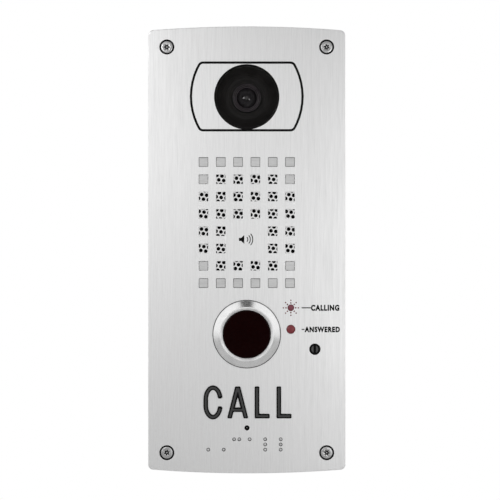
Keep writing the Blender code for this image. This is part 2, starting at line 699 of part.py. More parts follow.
# ---------------------------------------------------------------- call button
def make_button():
    place = (0, BUTTON_Y, 0)
    flange_back = PLATE_FRONT + 0.5 * MM
    bore = BUTTON_LENS_RADIUS + 0.15 * MM
    turned(
        "button_bezel",
        [
            (12.9 * MM, 7.7 * MM),
            (16.2 * MM, 5.2 * MM),
            (BEZEL_RADIUS, 5.0 * MM),
            (BEZEL_RADIUS, flange_back),
            (SLEEVE_RADIUS, flange_back),
            (SLEEVE_RADIUS, -14.0 * MM),
            (13.0 * MM, -14.0 * MM),
            (13.0 * MM, 3.5 * MM),
            (bore, 3.5 * MM),
            (bore, 6.9 * MM),
            (12.3 * MM, 7.6 * MM),
        ],
        TURNED_STEEL,
        place,
        48,
    )
    seal_out, seal_in = flange_back - GAP, PLATE_FRONT + GAP
    turned(
        "button_seal",
        [(16.65 * MM, seal_out), (16.65 * MM, seal_in), (14.2 * MM, seal_in), (14.2 * MM, seal_out)],
        RUBBER,
        place,
    )
    turned(
        "button_lens",
        [
            (0, 7.1 * MM),
            (11.0 * MM, 7.0 * MM),
            (BUTTON_LENS_RADIUS, 6.6 * MM),
            (BUTTON_LENS_RADIUS, 3.2 * MM),
            (12.7 * MM, 3.2 * MM),
            (12.7 * MM, 1.4 * MM),
            (0, 1.4 * MM),
        ],
        BUTTON_RED,
        place,
        48,
    )
    stem, stem_end = 3.2 * MM, -15.0 * MM
    turned(
        "button_plunger",
        [
            (0, 1.3 * MM),
            (8.0 * MM, 1.3 * MM),
            (8.0 * MM, 0.3 * MM),
            (stem, 0.3 * MM),
            (stem, stem_end),
            (0, stem_end),
        ],
        BLACK_PLASTIC,
        place,
        24,
    )
    turned(
        "button_led_board",
        [(12.7 * MM, -2.5 * MM), (12.7 * MM, -3.7 * MM), (6.8 * MM, -3.7 * MM), (6.8 * MM, -2.5 * MM)],
        CIRCUIT_BOARD,
        place,
    )
    seat = -12.2 * MM
    turned(
        "button_carrier",
        [
            (12.8 * MM, -3.8 * MM),
            (12.8 * MM, -19.0 * MM),
            (11.4 * MM, -19.0 * MM),
            (11.4 * MM, -14.2 * MM),
            (stem + 0.3 * MM, -14.2 * MM),
            (stem + 0.3 * MM, seat),
            (11.4 * MM, seat),
            (11.4 * MM, -3.8 * MM),
        ],
        BLACK_PLASTIC,
        place,
    )
    make_spring("button_spring", 4.9 * MM, 0.35 * MM, seat + GAP, 0.3 * MM - GAP, 5.5, place)
    make_ring_nut(place)
    make_switch(place, stem_end)


def make_spring(name, radius, wire_radius, low, high, turns, place):
    points_per_turn = 10
    count = int(turns * points_per_turn) + 1
    curve = bpy.data.curves.new(name, "CURVE")
    curve.dimensions = "3D"
    curve.bevel_depth = wire_radius
    curve.bevel_resolution = 2
    curve.use_fill_caps = True
    spline = curve.splines.new("POLY")
    spline.points.add(count - 1)
    start, rise = low + wire_radius, high - low - 2 * wire_radius
    for k, point in enumerate(spline.points):
        angle = math.tau * k / points_per_turn
        height = start + rise * k / (count - 1)
        point.co = (radius * math.cos(angle), radius * math.sin(angle), height, 1)
    add(name, curve, ZINC, place)


def make_ring_nut(place):
    """A round nut with six notches for a pin spanner."""
    outer, low, high = 17.2 * MM, -2.9 * MM, PLATE_BACK - GAP
    outline = [circle(outer, sides=36), circle(SLEEVE_RADIUS + GAP, sides=36)]
    nut = add("button_ring_nut", flat_mesh(outline, low, high), BRASS, place)
    notches = []
    for k in range(6):
        angle = math.tau * (k + 0.5) / 6
        centre = (outer * math.cos(angle), outer * math.sin(angle))
        notches.append(rod_mesh(1.6 * MM, low - 1 * MM, high + 1 * MM, centre, 8))
    cut(nut, *notches)


def make_switch(place, stem_end):
    front, back = -19.1 * MM, -29.5 * MM
    body = add("switch_body", rod_mesh(12.7 * MM, back, front, sides=24), BLACK_PLASTIC, place)
    cut(body, rod_mesh(1.9 * MM, front - 6.5 * MM, front + 1 * MM, sides=12))
    tabs = [block_mesh(0.4 * MM, 2.2 * MM, back - 3.5 * MM, back + 1 * MM, (x * MM, 0)) for x in (-6, 6)]
    boolean(body, "UNION", tabs)
    plunger = rod_mesh(1.7 * MM, front - 3.5 * MM, stem_end - GAP, sides=12)
    add("switch_plunger", plunger, BRASS, place)


# ---------------------------------------------------------------- indicators, sensor and microphone
def make_indicators():
    seat = INDICATOR_BOARD_FRONT + GAP
    for name, (x, y, radius) in (("calling_led", CALLING_LED), ("answered_led", ANSWERED_LED)):
        turned(
            name,
            [
                (0, PLATE_FRONT + 0.1 * MM),
                (0.6 * radius, PLATE_FRONT),
                (radius, PLATE_FRONT - 0.3 * MM),
                (radius, seat),
                (0, seat),
            ],
            LED_RED,
            (x, y, 0),
            16,
        )
    x, y, radius = LIGHT_SENSOR
    turned(
        "light_sensor",
        [
            (0, PLATE_FRONT - 0.4 * MM),
            (0.75 * radius, PLATE_FRONT - 0.9 * MM),
            (radius, PLATE_FRONT - 1.6 * MM),
            (radius, seat),
            (0, seat),
        ],
        SENSOR_GREY,
        (x, y, 0),
        16,
    )
    low, high = INDICATOR_BOARD_FRONT - 1.2 * MM, INDICATOR_BOARD_FRONT
    centre = (26.8 * MM, -38.2 * MM)
    outline = rounded_rectangle(9.3 * MM, 15.2 * MM, 1.5 * MM, 2)
    holes = [circle(1.15 * MM, (px - centre[0], py - centre[1]), 8) for px, py in INDICATOR_STUDS]
    add("indicator_board", flat_mesh([outline, *holes], low, high), CIRCUIT_BOARD, (*centre, 0))


def make_microphone():
    x, y, hole_radius = MICROPHONE
    turned(
        "microphone_boot",
        [
            (3.4 * MM, PLATE_BACK - GAP),
            (3.4 * MM, -3.0 * MM),
            (2.1 * MM, -3.0 * MM),
            (2.1 * MM, 0.2 * MM),
            (hole_radius, 0.2 * MM),
            (hole_radius, PLATE_BACK - GAP),
        ],
        RUBBER,
        (x, y, 0),
        16,
    )
    capsule = rod_mesh(2.0 * MM, -2.8 * MM, 0.1 * MM, sides=16)
    add("microphone", capsule, ZINC, (x, y, 0))


# ---------------------------------------------------------------- electronics and rear housing
def make_main_board():
    back = BOARD_FRONT - BOARD_THICKNESS
    edge = rounded_rectangle(BOARD_HALF_X, BOARD_HALF_Y, 2 * MM, 2)
    holes = [circle(1.7 * MM, place, 12) for place in post_places()]
    board = add("main_board", flat_mesh([edge, *holes], back, BOARD_FRONT), CIRCUIT_BOARD)
    root = back + 0.5 * MM
    join(board, block_mesh(7 * MM, 7 * MM, back - 1.4 * MM, root, (12 * MM, 10 * MM)))
    join(board, block_mesh(3 * MM, 3 * MM, back - 3.4 * MM, root, (RESET_X, RESET_Y)))
    cut(board, rod_mesh(1.7 * MM, back - 5 * MM, back - 1.8 * MM, (RESET_X, RESET_Y), 12))

    chip_back = back - 1.4 * MM - GAP
    sink_mesh = block_mesh(8 * MM, 8 * MM, chip_back - 5.5 * MM, chip_back)
    sink = add("heat_sink", sink_mesh, ZINC, (12 * MM, 10 * MM, 0))
    fin_pitch = 3.2 * MM
    slots = []
    for k in range(4):
        x = (k - 1.5) * fin_pitch
        slots.append(block_mesh(0.9 * MM, 9 * MM, chip_back - 7 * MM, chip_back - 1.6 * MM, (x, 0)))
    cut(sink, *slots)
    transformer = block_mesh(8 * MM, 7 * MM, back - GAP - 7.4 * MM, back - GAP)
    bevel(add("poe_transformer", transformer, FERRITE, (-17 * MM, 12 * MM, 0)), 0.8 * MM)

    cap_root = back - 2.7 * MM
    cap = rod_mesh(1.5 * MM, HOUSING_BACK + 0.8 * MM, cap_root, sides=12)
    add("reset_button", cap, RESET_WHITE, (RESET_X, RESET_Y, 0))


def make_connectors():
    """The network jack and the spring-clamp terminal block, both opening to the back."""
    board_back = BOARD_FRONT - BOARD_THICKNESS - GAP
    jack = add(
        "ethernet_jack",
        block_mesh(JACK_HALF_X, JACK_HALF_Y, JACK_BACK, board_back),
        BLACK_PLASTIC,
        (JACK_X, JACK_Y, 0),
    )
    mouth_low, mouth_high = JACK_BACK - 1 * MM, board_back - 1.5 * MM
    cut(jack, block_mesh(5.9 * MM, 4.0 * MM, mouth_low, mouth_high, (0, 0.8 * MM)))
    cut(jack, block_mesh(3.1 * MM, 1.6 * MM, mouth_low, mouth_high, (0, -3.7 * MM)))

    half_x = BLOCK_POLES * BLOCK_PITCH / 2
    block = add(
        "terminal_block",
        block_mesh(half_x, BLOCK_HALF_Y, BLOCK_BACK, board_back),
        CONNECTOR_GREEN,
        (BLOCK_X, BLOCK_Y, 0),
    )
    ways = []
    for pole in range(BLOCK_POLES):
        x = (pole - (BLOCK_POLES - 1) / 2) * BLOCK_PITCH
        ways.append(rod_mesh(1.5 * MM, BLOCK_BACK - 1 * MM, BLOCK_BACK + 8 * MM, (x, -1.8 * MM), 8))
        ways.append(block_mesh(1.2 * MM, 0.8 * MM, BLOCK_BACK - 1 * MM, BLOCK_BACK + 3 * MM, (x, 2.4 * MM)))
    cut(block, *ways)


def make_standoffs():
    for k, (x, y) in enumerate(post_places(), 1):
        low, high = BOARD_FRONT + GAP, PLATE_BACK - GAP
        hexagon_nut(f"standoff_{k}", 5.5 * MM, STUD_RADIUS + GAP, low, high, BRASS, (x, y, 0))


def make_rear_housing():
    """An open box with four screw posts, closed in front by the faceplate."""
    front = PLATE_BACK - GAP
    outline = rounded_rectangle(HOUSING_HALF_X, HOUSING_HALF_Y, 5 * MM)
    housing = add("rear_housing", flat_mesh([outline], HOUSING_BACK, front), BLACK_PLASTIC)
    wall = HOUSING_WALL
    hollow = rounded_rectangle(HOUSING_HALF_X - wall, HOUSING_HALF_Y - wall, 3 * MM)
    cut(housing, flat_mesh([hollow], HOUSING_BACK + wall, front + 1 * MM))
    post_top = BOARD_FRONT - BOARD_THICKNESS - GAP
    posts = [rod_mesh(4.0 * MM, HOUSING_BACK + 0.5 * MM, post_top, place, 16) for place in post_places()]
    boolean(housing, "UNION", posts)
    outside = HOUSING_BACK - 1 * MM
    bores = [rod_mesh(1.7 * MM, outside, post_top + 1 * MM, place, 12) for place in post_places()]
    ledge = HOUSING_BACK + 2.4 * MM
    counterbores = [rod_mesh(3.2 * MM, outside, ledge, place, 16) for place in post_places()]
    cut(housing, *bores)
    cut(housing, *counterbores)
    inside = HOUSING_BACK + wall + 1 * MM
    ports = [
        block_mesh(JACK_HALF_X + 0.3 * MM, JACK_HALF_Y + 0.3 * MM, outside, inside, (JACK_X, JACK_Y)),
        block_mesh(
            BLOCK_POLES * BLOCK_PITCH / 2 + 0.3 * MM,
            BLOCK_HALF_Y + 0.3 * MM,
            outside,
            inside,
            (BLOCK_X, BLOCK_Y),
        ),
        rod_mesh(1.8 * MM, outside, inside, (RESET_X, RESET_Y), 12),
    ]
    cut(housing, *ports)


def make_housing_screws():
    head_top = HOUSING_BACK + 0.2 * MM
    head_under = HOUSING_BACK + 2.4 * MM - GAP
    profile = [
        (0, -28.0 * MM),
        (1.45 * MM, -28.0 * MM),
        (1.45 * MM, head_under),
        (2.8 * MM, head_under),
        (2.8 * MM, head_top + 0.4 * MM),
        (2.2 * MM, head_top),
        (0, head_top),
    ]
    places = [(x, y, 0) for x, y in post_places()]
    first = turned("housing_screw_1", profile, SCREW_STEEL, places[0], steps=16)
    arms = [
        block_mesh(1.5 * MM, 0.35 * MM, head_top - 1 * MM, head_top + 1.3 * MM),
        block_mesh(0.35 * MM, 1.5 * MM, head_top - 1 * MM, head_top + 1.3 * MM),
    ]
    for arm in arms:
        cut(first, arm)
    copies(first, [f"housing_screw_{k}" for k in (2, 3, 4)], places[1:])


def main():
    make_faceplate()
    make_wall_gasket()
    make_letters()
    make_security_screws()
    make_camera()
    make_grille()
    make_speaker()
    make_button()
    make_indicators()
    make_microphone()
    make_main_board()
    make_connectors()
    make_standoffs()
    make_rear_housing()
    make_housing_screws()


main()
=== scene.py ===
"""Looks of the door intercom panel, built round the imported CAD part.

Shapes are worked out in millimetres in the panel's own frame, as if it lay on its back: X to the right,
Y up the panel and Z out of the wall, with Z = 0 on the wall. to_world() turns that into the CAD's frame,
in metres, with the front facing -Y. Places come from the CAD nodes' boxes.
"""

import json
import math

import bmesh
import bpy
from mathutils import Matrix, Vector


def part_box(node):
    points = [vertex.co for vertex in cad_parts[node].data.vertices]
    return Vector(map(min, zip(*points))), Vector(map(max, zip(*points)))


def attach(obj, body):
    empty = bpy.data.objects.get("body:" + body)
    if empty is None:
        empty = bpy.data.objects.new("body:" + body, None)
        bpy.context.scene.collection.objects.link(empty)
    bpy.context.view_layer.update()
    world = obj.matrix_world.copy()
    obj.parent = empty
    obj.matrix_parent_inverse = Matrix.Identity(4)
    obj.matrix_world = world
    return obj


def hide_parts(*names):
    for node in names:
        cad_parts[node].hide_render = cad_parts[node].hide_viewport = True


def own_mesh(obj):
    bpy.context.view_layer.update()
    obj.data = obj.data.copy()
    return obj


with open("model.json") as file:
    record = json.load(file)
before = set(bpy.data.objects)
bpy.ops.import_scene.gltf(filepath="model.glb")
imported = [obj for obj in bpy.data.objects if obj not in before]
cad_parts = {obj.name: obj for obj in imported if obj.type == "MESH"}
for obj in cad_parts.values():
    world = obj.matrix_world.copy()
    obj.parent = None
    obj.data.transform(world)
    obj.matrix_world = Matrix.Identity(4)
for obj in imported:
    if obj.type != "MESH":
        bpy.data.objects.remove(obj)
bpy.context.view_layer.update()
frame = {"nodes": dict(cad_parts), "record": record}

MM = 0.001


# ---------------------------------------------------------------- places from the CAD
def node_box(node):
    """((x, y, z) low, (x, y, z) high) of a CAD node in panel millimetres."""
    low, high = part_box(node)
    return (
        Vector((low.x, low.z, -high.y)) / MM,
        Vector((high.x, high.z, -low.y)) / MM,
    )


def node_centre(node):
    low, high = node_box(node)
    return (low.x + high.x) / 2, (low.y + high.y) / 2


HALF_WIDTH, HALF_HEIGHT, _ = node_box("faceplate")[1]
END_RISE = 1.95  # how far each arched end bulges
PLATE_BACK = 1.2
FRONT = 4.2
CORNER_RADIUS = 2.5

CAMERA_AT = node_centre("camera_window")
GRILLE_AT = node_centre("grille_sheet")
BUTTON_AT = node_centre("button_lens")
CALLING_AT = node_centre("calling_led")
ANSWERED_AT = node_centre("answered_led")
SENSOR_AT = node_centre("light_sensor")
MICROPHONE_AT = node_centre("microphone")
SCREWS = [f"security_screw_{k}" for k in range(1, 5)]
SCREW_PLACES = [node_centre(name) for name in SCREWS]
HOUSING_LOW, HOUSING_HIGH = node_box("rear_housing")

CAMERA_HOLE_RADIUS = 15.75
SLEEVE_HOLE_RADIUS = 14.15
MICROPHONE_HOLE_RADIUS = 1.25
CALLING_HOLE_RADIUS = 1.6
ANSWERED_HOLE_RADIUS = 2.17
SENSOR_HOLE_RADIUS = 2.7
SCREW_HOLE_RADIUS = 3.62

GRILLE_PITCH = 8.36
GRILLE_COLUMNS, GRILLE_ROWS = 6, 8
GRILLE_SQUARE = 4.55
SHEET_LIFT = 0.7  # how far the drawn sheet lies in front of the CAD's
PERFORATION_PITCH = 2.38
PERFORATION_RADIUS = 0.91
PERFORATION_TURN = math.radians(-8.5)
PERFORATION_ORIGIN = (-11.23, 3.63)  # one hole's centre, from the grille's centre

BRAILLE_AT = (-21.1, -91.5)  # dot 1 of the first cell
BRAILLE_CELL, BRAILLE_DOT = 7.5, 2.5
BRAILLE_CELLS = ((6,), (6,), (1, 4), (1,), (1, 2, 3), (1, 2, 3))  # two capital signs, c, a, l, l

LETTER_HEIGHT = 15.4
STROKE_HALF = 1.1
DASH_LEFT = 26.5  # where the legends' dashes begin
DASH_HALF = 0.25
PRINT_HEIGHT = 0.02

LIGHT_BACK = -5.9  # how far in the lights and the sensor reach
HOUSING_WALL = 2.0
TERMINAL_POLES, TERMINAL_PITCH = 6, 5.08


# ---------------------------------------------------------------- outlines
def circle(radius, centre=(0, 0), sides=64):
    steps = [math.tau * k / sides for k in range(sides)]
    return [(centre[0] + radius * math.cos(a), centre[1] + radius * math.sin(a)) for a in steps]


def filleted(corners, radius, steps=5):
    """The closed outline through those corners, each rounded to the radius."""
    points = []
    for k, here in enumerate(corners):
        before, after = Vector(corners[k - 1]), Vector(corners[(k + 1) % len(corners)])
        here = Vector(here)
        back, ahead = (before - here), (after - here)
        half_angle = back.angle(ahead) / 2
        reach = min(radius / math.tan(half_angle), 0.48 * back.length, 0.48 * ahead.length)
        fitted = reach * math.tan(half_angle)
        back.normalize()
        ahead.normalize()
        centre = here + (back + ahead).normalized() * (fitted / math.sin(half_angle))
        start, end = here + back * reach - centre, here + ahead * reach - centre
        turn = start.angle_signed(end)
        for step in range(steps + 1):
            arm = start.copy()
            arm.rotate(Matrix.Rotation(-turn * step / steps, 2))
            points.append(tuple(centre + arm))
    return points


def box_corners(half_x, half_y, centre=(0, 0)):
    x, y = centre
    return [(x + a * half_x, y + b * half_y) for a, b in ((1, -1), (1, 1), (-1, 1), (-1, -1))]


def rounded_box(half_x, half_y, radius, centre=(0, 0), steps=8):
    return filleted(box_corners(half_x, half_y, centre), radius, steps)


def arched_outline(half_width, half_height, radius, corner_steps=10, arc_steps=40):
    """The plate's outline, whose ends bulge by END_RISE."""
    arc_radius = half_width**2 / (2 * END_RISE) + END_RISE / 2

    def end_y(x):
        return half_height - arc_radius + math.sqrt(arc_radius**2 - x**2)

    inner = half_width - radius
    centre_y = end_y(inner) - radius
    turns = [math.pi / 2 * k / corner_steps for k in range(corner_steps + 1)]
    corner = [(inner + radius * math.cos(a), centre_y + radius * math.sin(a)) for a in turns]
    places = [inner * (1 - 2 * k / arc_steps) for k in range(1, arc_steps)]
    upper = corner + [(x, end_y(x)) for x in places] + [(-x, y) for x, y in reversed(corner)]
    return upper + [(-x, -y) for x, y in upper]


def moved(outline, distance):
    """The outline (anticlockwise) grown by that distance, or shrunk where it is negative."""
    points = []
    for k, (x, y) in enumerate(outline):
        ax, ay = outline[k - 1]
        bx, by = outline[(k + 1) % len(outline)]
        before, after = Vector((x - ax, y - ay)).normalized(), Vector((bx - x, by - y)).normalized()
        normal = Vector((before.y + after.y, -before.x - after.x))
        scale = distance * 2 / max(normal.length_squared, 0.5)
        points.append((x + normal.x * scale, y + normal.y * scale))
    return points


# ---------------------------------------------------------------- mesh building
def loft(bm, loops, inward=False):
    """Quads between loops of equal length, given bottom first."""
    rows = [[bm.verts.new(point) for point in loop] for loop in loops]
    for low, high in zip(rows, rows[1:]):
        for k in range(len(low)):
            m = (k + 1) % len(low)
            corners = (low[k], low[m], high[m], high[k])
            bm.faces.new(reversed(corners) if inward else corners)
    return rows[0], rows[-1]


def fill(bm, loops, out):
    """Triangles between an outline and the holes in it, facing up (out = 1) or down (out = -1)."""
    edges = []
    for loop in loops:
        for k, vert in enumerate(loop):
            edges.append(bm.edges.get((vert, loop[(k + 1) % len(loop)])))
    made = bmesh.ops.triangle_fill(bm, use_beauty=True, use_dissolve=False, edges=edges, normal=(0, 0, out))
    for face in made["geom"]:
        if isinstance(face, bmesh.types.BMFace) and face.normal.z * out < 0:
            face.normal_flip()


def slab(bm, outlines, low, high, steps=3):
    """A flat piece. Each outline is (points anticlockwise, round at the top, round at the bottom), the
    first is its edge and the others are holes."""
    bottoms, tops = [], []
    for index, (points, top_round, bottom_round) in enumerate(outlines):
        side = 1 if index else -1
        loops = []
        for k in range(steps, -1, -1) if bottom_round else (0,):
            a = math.pi / 2 * k / steps
            shape = moved(points, side * bottom_round * (1 - math.cos(a)))
            loops.append([(x, y, low + bottom_round * (1 - math.sin(a))) for x, y in shape])
        for k in range(steps + 1) if top_round else (0,):
            a = math.pi / 2 * k / steps
            shape = moved(points, side * top_round * (1 - math.cos(a)))
            loops.append([(x, y, high - top_round * (1 - math.sin(a))) for x, y in shape])
        first, last = loft(bm, loops, inward=index > 0)
        bottoms.append(first)
        tops.append(last)
    for loop_set, out in ((tops, 1), (bottoms, -1)):
        if len(loop_set) == 1:
            bm.faces.new(loop_set[0] if out > 0 else list(reversed(loop_set[0])))
        else:
            fill(bm, loop_set, out)


def spin(bm, profile, segments=96):
    """A turned shape from (radius, out) points, which run down its outer side."""
    rings = []
    for radius, out in profile:
        if radius == 0:
            rings.append([bm.verts.new((0, 0, out))])
        else:
            rings.append([bm.verts.new((x, y, out)) for x, y in circle(radius, sides=segments)])
    if profile[0][0] > 0:
        rings.append(rings[0])
    for high, low in zip(rings, rings[1:]):
        for k in range(segments):
            m = (k + 1) % segments
            corners = [high[k % len(high)], low[k % len(low)], low[m % len(low)], high[m % len(high)]]
            bm.faces.new(list(dict.fromkeys(corners)))


def softened(profile, radius, steps=3):
    """A profile with each corner off the axis rounded."""
    points = [profile[0]] if profile[0][0] == 0 else []
    closed = profile[0][0] > 0
    span = range(len(profile)) if closed else range(1, len(profile) - 1)
    for k in span:
        before, here, after = profile[k - 1], Vector(profile[k]), profile[(k + 1) % len(profile)]
        back, ahead = Vector(before) - here, Vector(after) - here
        reach = min(radius, 0.4 * back.length, 0.4 * ahead.length)
        start, end = here + back.normalized() * reach, here + ahead.normalized() * reach
        for step in range(steps + 1):
            t = step / steps
            points.append(tuple((1 - t) ** 2 * start + 2 * t * (1 - t) * here + t * t * end))
    return points if closed else points + [profile[-1]]


TO_WORLD = Matrix(((MM, 0, 0, 0), (0, 0, -MM, 0), (0, MM, 0, 0), (0, 0, 0, 1)))


def piece(name, bm, materials, at=(0, 0), body="panel", replaces=(), crease=32):
    """A finished piece, with its origin at that place on the wall, riding on a CAD body."""
    bmesh.ops.transform(bm, matrix=TO_WORLD, verts=bm.verts)
    for face in bm.faces:
        face.smooth = True
    for edge in bm.edges:
        edge.smooth = len(edge.link_faces) != 2 or edge.calc_face_angle(0) < math.radians(crease)
    mesh = bpy.data.meshes.new(name)
    bm.to_mesh(mesh)
    bm.free()
    return place(name, mesh, materials, at, body, replaces)


def place(name, mesh, materials, at, body="panel", replaces=()):
    for material in materials:
        mesh.materials.append(material)
    obj = bpy.data.objects.new(name, mesh)
    bpy.context.scene.collection.objects.link(obj)
    obj.location = (at[0] * MM, 0, at[1] * MM)
    modifier = obj.modifiers.new("Weighted normals", "WEIGHTED_NORMAL")
    modifier.keep_sharp = True
    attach(obj, body)
    if replaces:
        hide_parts(*replaces)
    return obj


def turned(name, profile, materials, slot, at, body="panel", replaces=(), segments=96):
    bm = bmesh.new()
    spin(bm, profile, segments)
    return piece(name, bm, materials, at, body, replaces)


def ring_piece(name, outer, inner, low, high, material, slot, edge=0.0):
    bm = bmesh.new()
    slab(bm, [(outer, edge, 0), (inner, edge, 0)], low, high)
    return piece(name, bm, [material])


def add_pin(bm, radius, low, high):
    """A short round pin with a chamfered top and an open foot."""
    sizes = ((radius, low), (radius, high - 0.15), (radius * 0.7, high))
    _, top = loft(bm, [[(x, y, out) for x, y in circle(r, sides=24)] for r, out in sizes])
    bm.faces.new(top)


# ---------------------------------------------------------------- materials
class Nodes:
    """A node tree, and short ways to add to it."""

    def __init__(self, tree):
        self.tree = tree

    def node(self, kind, **settings):
        node = self.tree.nodes.new(kind)
        for key, value in settings.items():
            setattr(node, key, value)
        return node

    def link(self, source, target):
        self.tree.links.new(source, target)

    def ranged(self, value, low, high, from_low=0.3, from_high=0.7, smooth=False):
        node = self.node("ShaderNodeMapRange")
        if smooth:
            node.interpolation_type = "SMOOTHSTEP"
        self.link(value, node.inputs["Value"])
        limits = {"From Min": from_low, "From Max": from_high, "To Min": low, "To Max": high}
        for socket, number in limits.items():
            node.inputs[socket].default_value = number
        return node.outputs["Result"]

    def math(self, operation, first, second):
        node = self.node("ShaderNodeMath", operation=operation)
        for socket, value in zip(node.inputs, (first, second)):
            if isinstance(value, (int, float)):
                socket.default_value = value
            else:
                self.link(value, socket)
        return node.outputs["Value"]

    def mixed(self, factor, first, second):
        node = self.node("ShaderNodeMix", data_type="RGBA")
        self.link(factor, node.inputs["Factor"])
        for socket, colour in ((node.inputs[6], first), (node.inputs[7], second)):
            if isinstance(colour, tuple):
                socket.default_value = (*colour, 1)
            else:
                self.link(colour, socket)
        return node.outputs[2]


class Shader(Nodes):
    """A material under construction: a Principled shader, and the nodes that drive it."""

    def __init__(self, name, colour, roughness, metallic=0.0, **constants):
        self.material = bpy.data.materials.new(name)
        self.material.use_nodes = True
        super().__init__(self.material.node_tree)
        self.shader = self.tree.nodes["Principled BSDF"]
        self.shader.inputs["Base Color"].default_value = (*colour, 1)
        self.shader.inputs["Roughness"].default_value = roughness
        self.shader.inputs["Metallic"].default_value = metallic
        for socket, value in constants.items():
            self.shader.inputs[socket.replace("_", " ")].default_value = value
        self.coordinates = self.node("ShaderNodeTexCoord").outputs["Object"]

    def stretched(self, scale, offset=(0, 0, 0)):
        mapping = self.node("ShaderNodeMapping")
        mapping.inputs["Scale"].default_value = scale
        mapping.inputs["Location"].default_value = offset
        self.link(self.coordinates, mapping.inputs["Vector"])
        return mapping.outputs["Vector"]

    def noise(self, scale, detail=3.0, offset=(0, 0, 0), rough=0.55):
        """Noise from 0 to 1, with that many features a metre, the same all ways or along X, Y and Z."""
        texture = self.node("ShaderNodeTexNoise")
        texture.inputs["Scale"].default_value = 1.0
        texture.inputs["Detail"].default_value = detail
        texture.inputs["Roughness"].default_value = rough
        along = scale if isinstance(scale, tuple) else (scale, scale, scale)
        self.link(self.stretched(along, offset), texture.inputs["Vector"])
        return texture.outputs["Fac"]

    def tint(self, pattern, colour, low, high):
        """The colour, darker and lighter by those factors where the pattern is low and high."""
        self.set_colour(self.mixed(self.ranged(pattern, 0, 1), shade(colour, low), shade(colour, high)))

    def set_colour(self, source):
        self.link(source, self.shader.inputs["Base Color"])

    def set_roughness(self, source):
        self.link(source, self.shader.inputs["Roughness"])

    def bump(self, height, distance, strength=1.0):
        node = self.node("ShaderNodeBump")
        node.inputs["Strength"].default_value = strength
        node.inputs["Distance"].default_value = distance
        self.link(height, node.inputs["Height"])
        self.link(node.outputs["Normal"], self.shader.inputs["Normal"])


def shade(colour, factor):
    return tuple(min(1.0, channel * factor) for channel in colour)


def grey(value):
    return (value, value, value)


def brushed_metal(name, colour, roughness, fine=(2900, 2900, 85), broad=(620, 620, 24), contrast=1.0):
    """Metal with straight grain: short fine scratches, wider ones, and slow clouds."""
    s = Shader(name, colour, roughness, 1.0)
    scratches = s.noise(fine, 5.0, rough=0.7)
    bands = s.noise(broad, 4.0, (3.1, 0.7, 1.9), 0.6)
    clouds = s.noise((34, 34, 13), 3.0, (0.3, 2.2, 0.6))
    grain = s.math("ADD", s.math("MULTIPLY", scratches, 0.6), s.math("MULTIPLY", bands, 0.4))
    total = s.math("ADD", s.math("MULTIPLY", grain, 0.8), s.math("MULTIPLY", clouds, 0.2))
    low, high = 1 - 0.11 * contrast, 1 + 0.08 * contrast
    s.set_colour(s.mixed(s.ranged(total, 0, 1, 0.36, 0.64), shade(colour, low), shade(colour, high)))
    s.set_roughness(s.ranged(total, roughness * 1.12, roughness * 0.88, 0.36, 0.64))
    s.bump(grain, 0.000008, 0.5)
    return s.material


def ring_metal(name, colour, roughness, per_metre=2600, depth=0.0000025):
    """Metal turned on a lathe: fine rings about the piece's own axis."""
    s = Shader(name, colour, roughness, 1.0)
    rings = s.node("ShaderNodeTexWave", wave_type="RINGS", rings_direction="Y")
    rings.inputs["Scale"].default_value = per_metre
    rings.inputs["Distortion"].default_value = 1.5
    rings.inputs["Detail"].default_value = 2.0
    rings.inputs["Detail Scale"].default_value = 0.4
    s.link(s.coordinates, rings.inputs["Vector"])
    cloud = s.noise(300, 3.0)
    s.tint(cloud, colour, 0.94, 1.05)
    s.set_roughness(s.ranged(cloud, roughness * 0.85, roughness * 1.2))
    s.bump(rings.outputs["Fac"], depth, 0.35)
    return s.material


def plain_metal(name, colour, roughness, grain=2500):
    """Plated or cast metal: a fine mottle and a few dull patches."""
    s = Shader(name, colour, roughness, 1.0)
    fine = s.noise(grain, 4.0)
    patches = s.noise(160, 4.0, (1, 2, 3))
    s.tint(patches, colour, 0.8, 1.12)
    s.set_roughness(s.ranged(patches, roughness * 1.3, roughness * 0.8))
    s.bump(fine, 0.00001, 0.4)
    return s.material


def moulded(name, colour, roughness, grain=2200, depth=0.00003, **constants):
    """Moulded plastic or rubber: spark-eroded grain, and faint handling marks."""
    s = Shader(name, colour, roughness, **constants)
    fine = s.noise(grain, 5.0, rough=0.65)
    marks = s.noise(90, 5.0, (4, 1, 2))
    s.tint(marks, colour, 0.82, 1.25)
    s.set_roughness(s.ranged(marks, roughness * 0.88, min(1.0, roughness * 1.12)))
    s.bump(fine, depth, 0.6)
    return s.material


def polished(name, colour, roughness, **constants):
    """Polished plastic: a slight unevenness of tint and gloss, and a trace of orange peel."""
    s = Shader(name, colour, roughness, **constants)
    cloud = s.noise(220, 3.0)
    s.tint(cloud, colour, 0.88, 1.12)
    s.set_roughness(s.ranged(s.noise(900, 4.0), roughness * 0.7, roughness * 1.4))
    s.bump(cloud, 0.00002, 0.15)
    return s.material


def foam(name, colour):
    s = Shader(name, colour, 0.9, Specular_IOR_Level=0.2)
    cells = s.node("ShaderNodeTexVoronoi", feature="F1")
    cells.inputs["Scale"].default_value = 1.0
    s.link(s.stretched((2600, 2600, 2600)), cells.inputs["Vector"])
    # darker in the middle of each cell: painted shade in the foam's pores
    depth = s.ranged(cells.outputs["Distance"], 0, 1, 0.1, 0.7)
    s.set_colour(s.mixed(depth, shade(colour, 0.5), shade(colour, 1.8)))
    s.bump(cells.outputs["Distance"], 0.0001, 0.8)
    return s.material


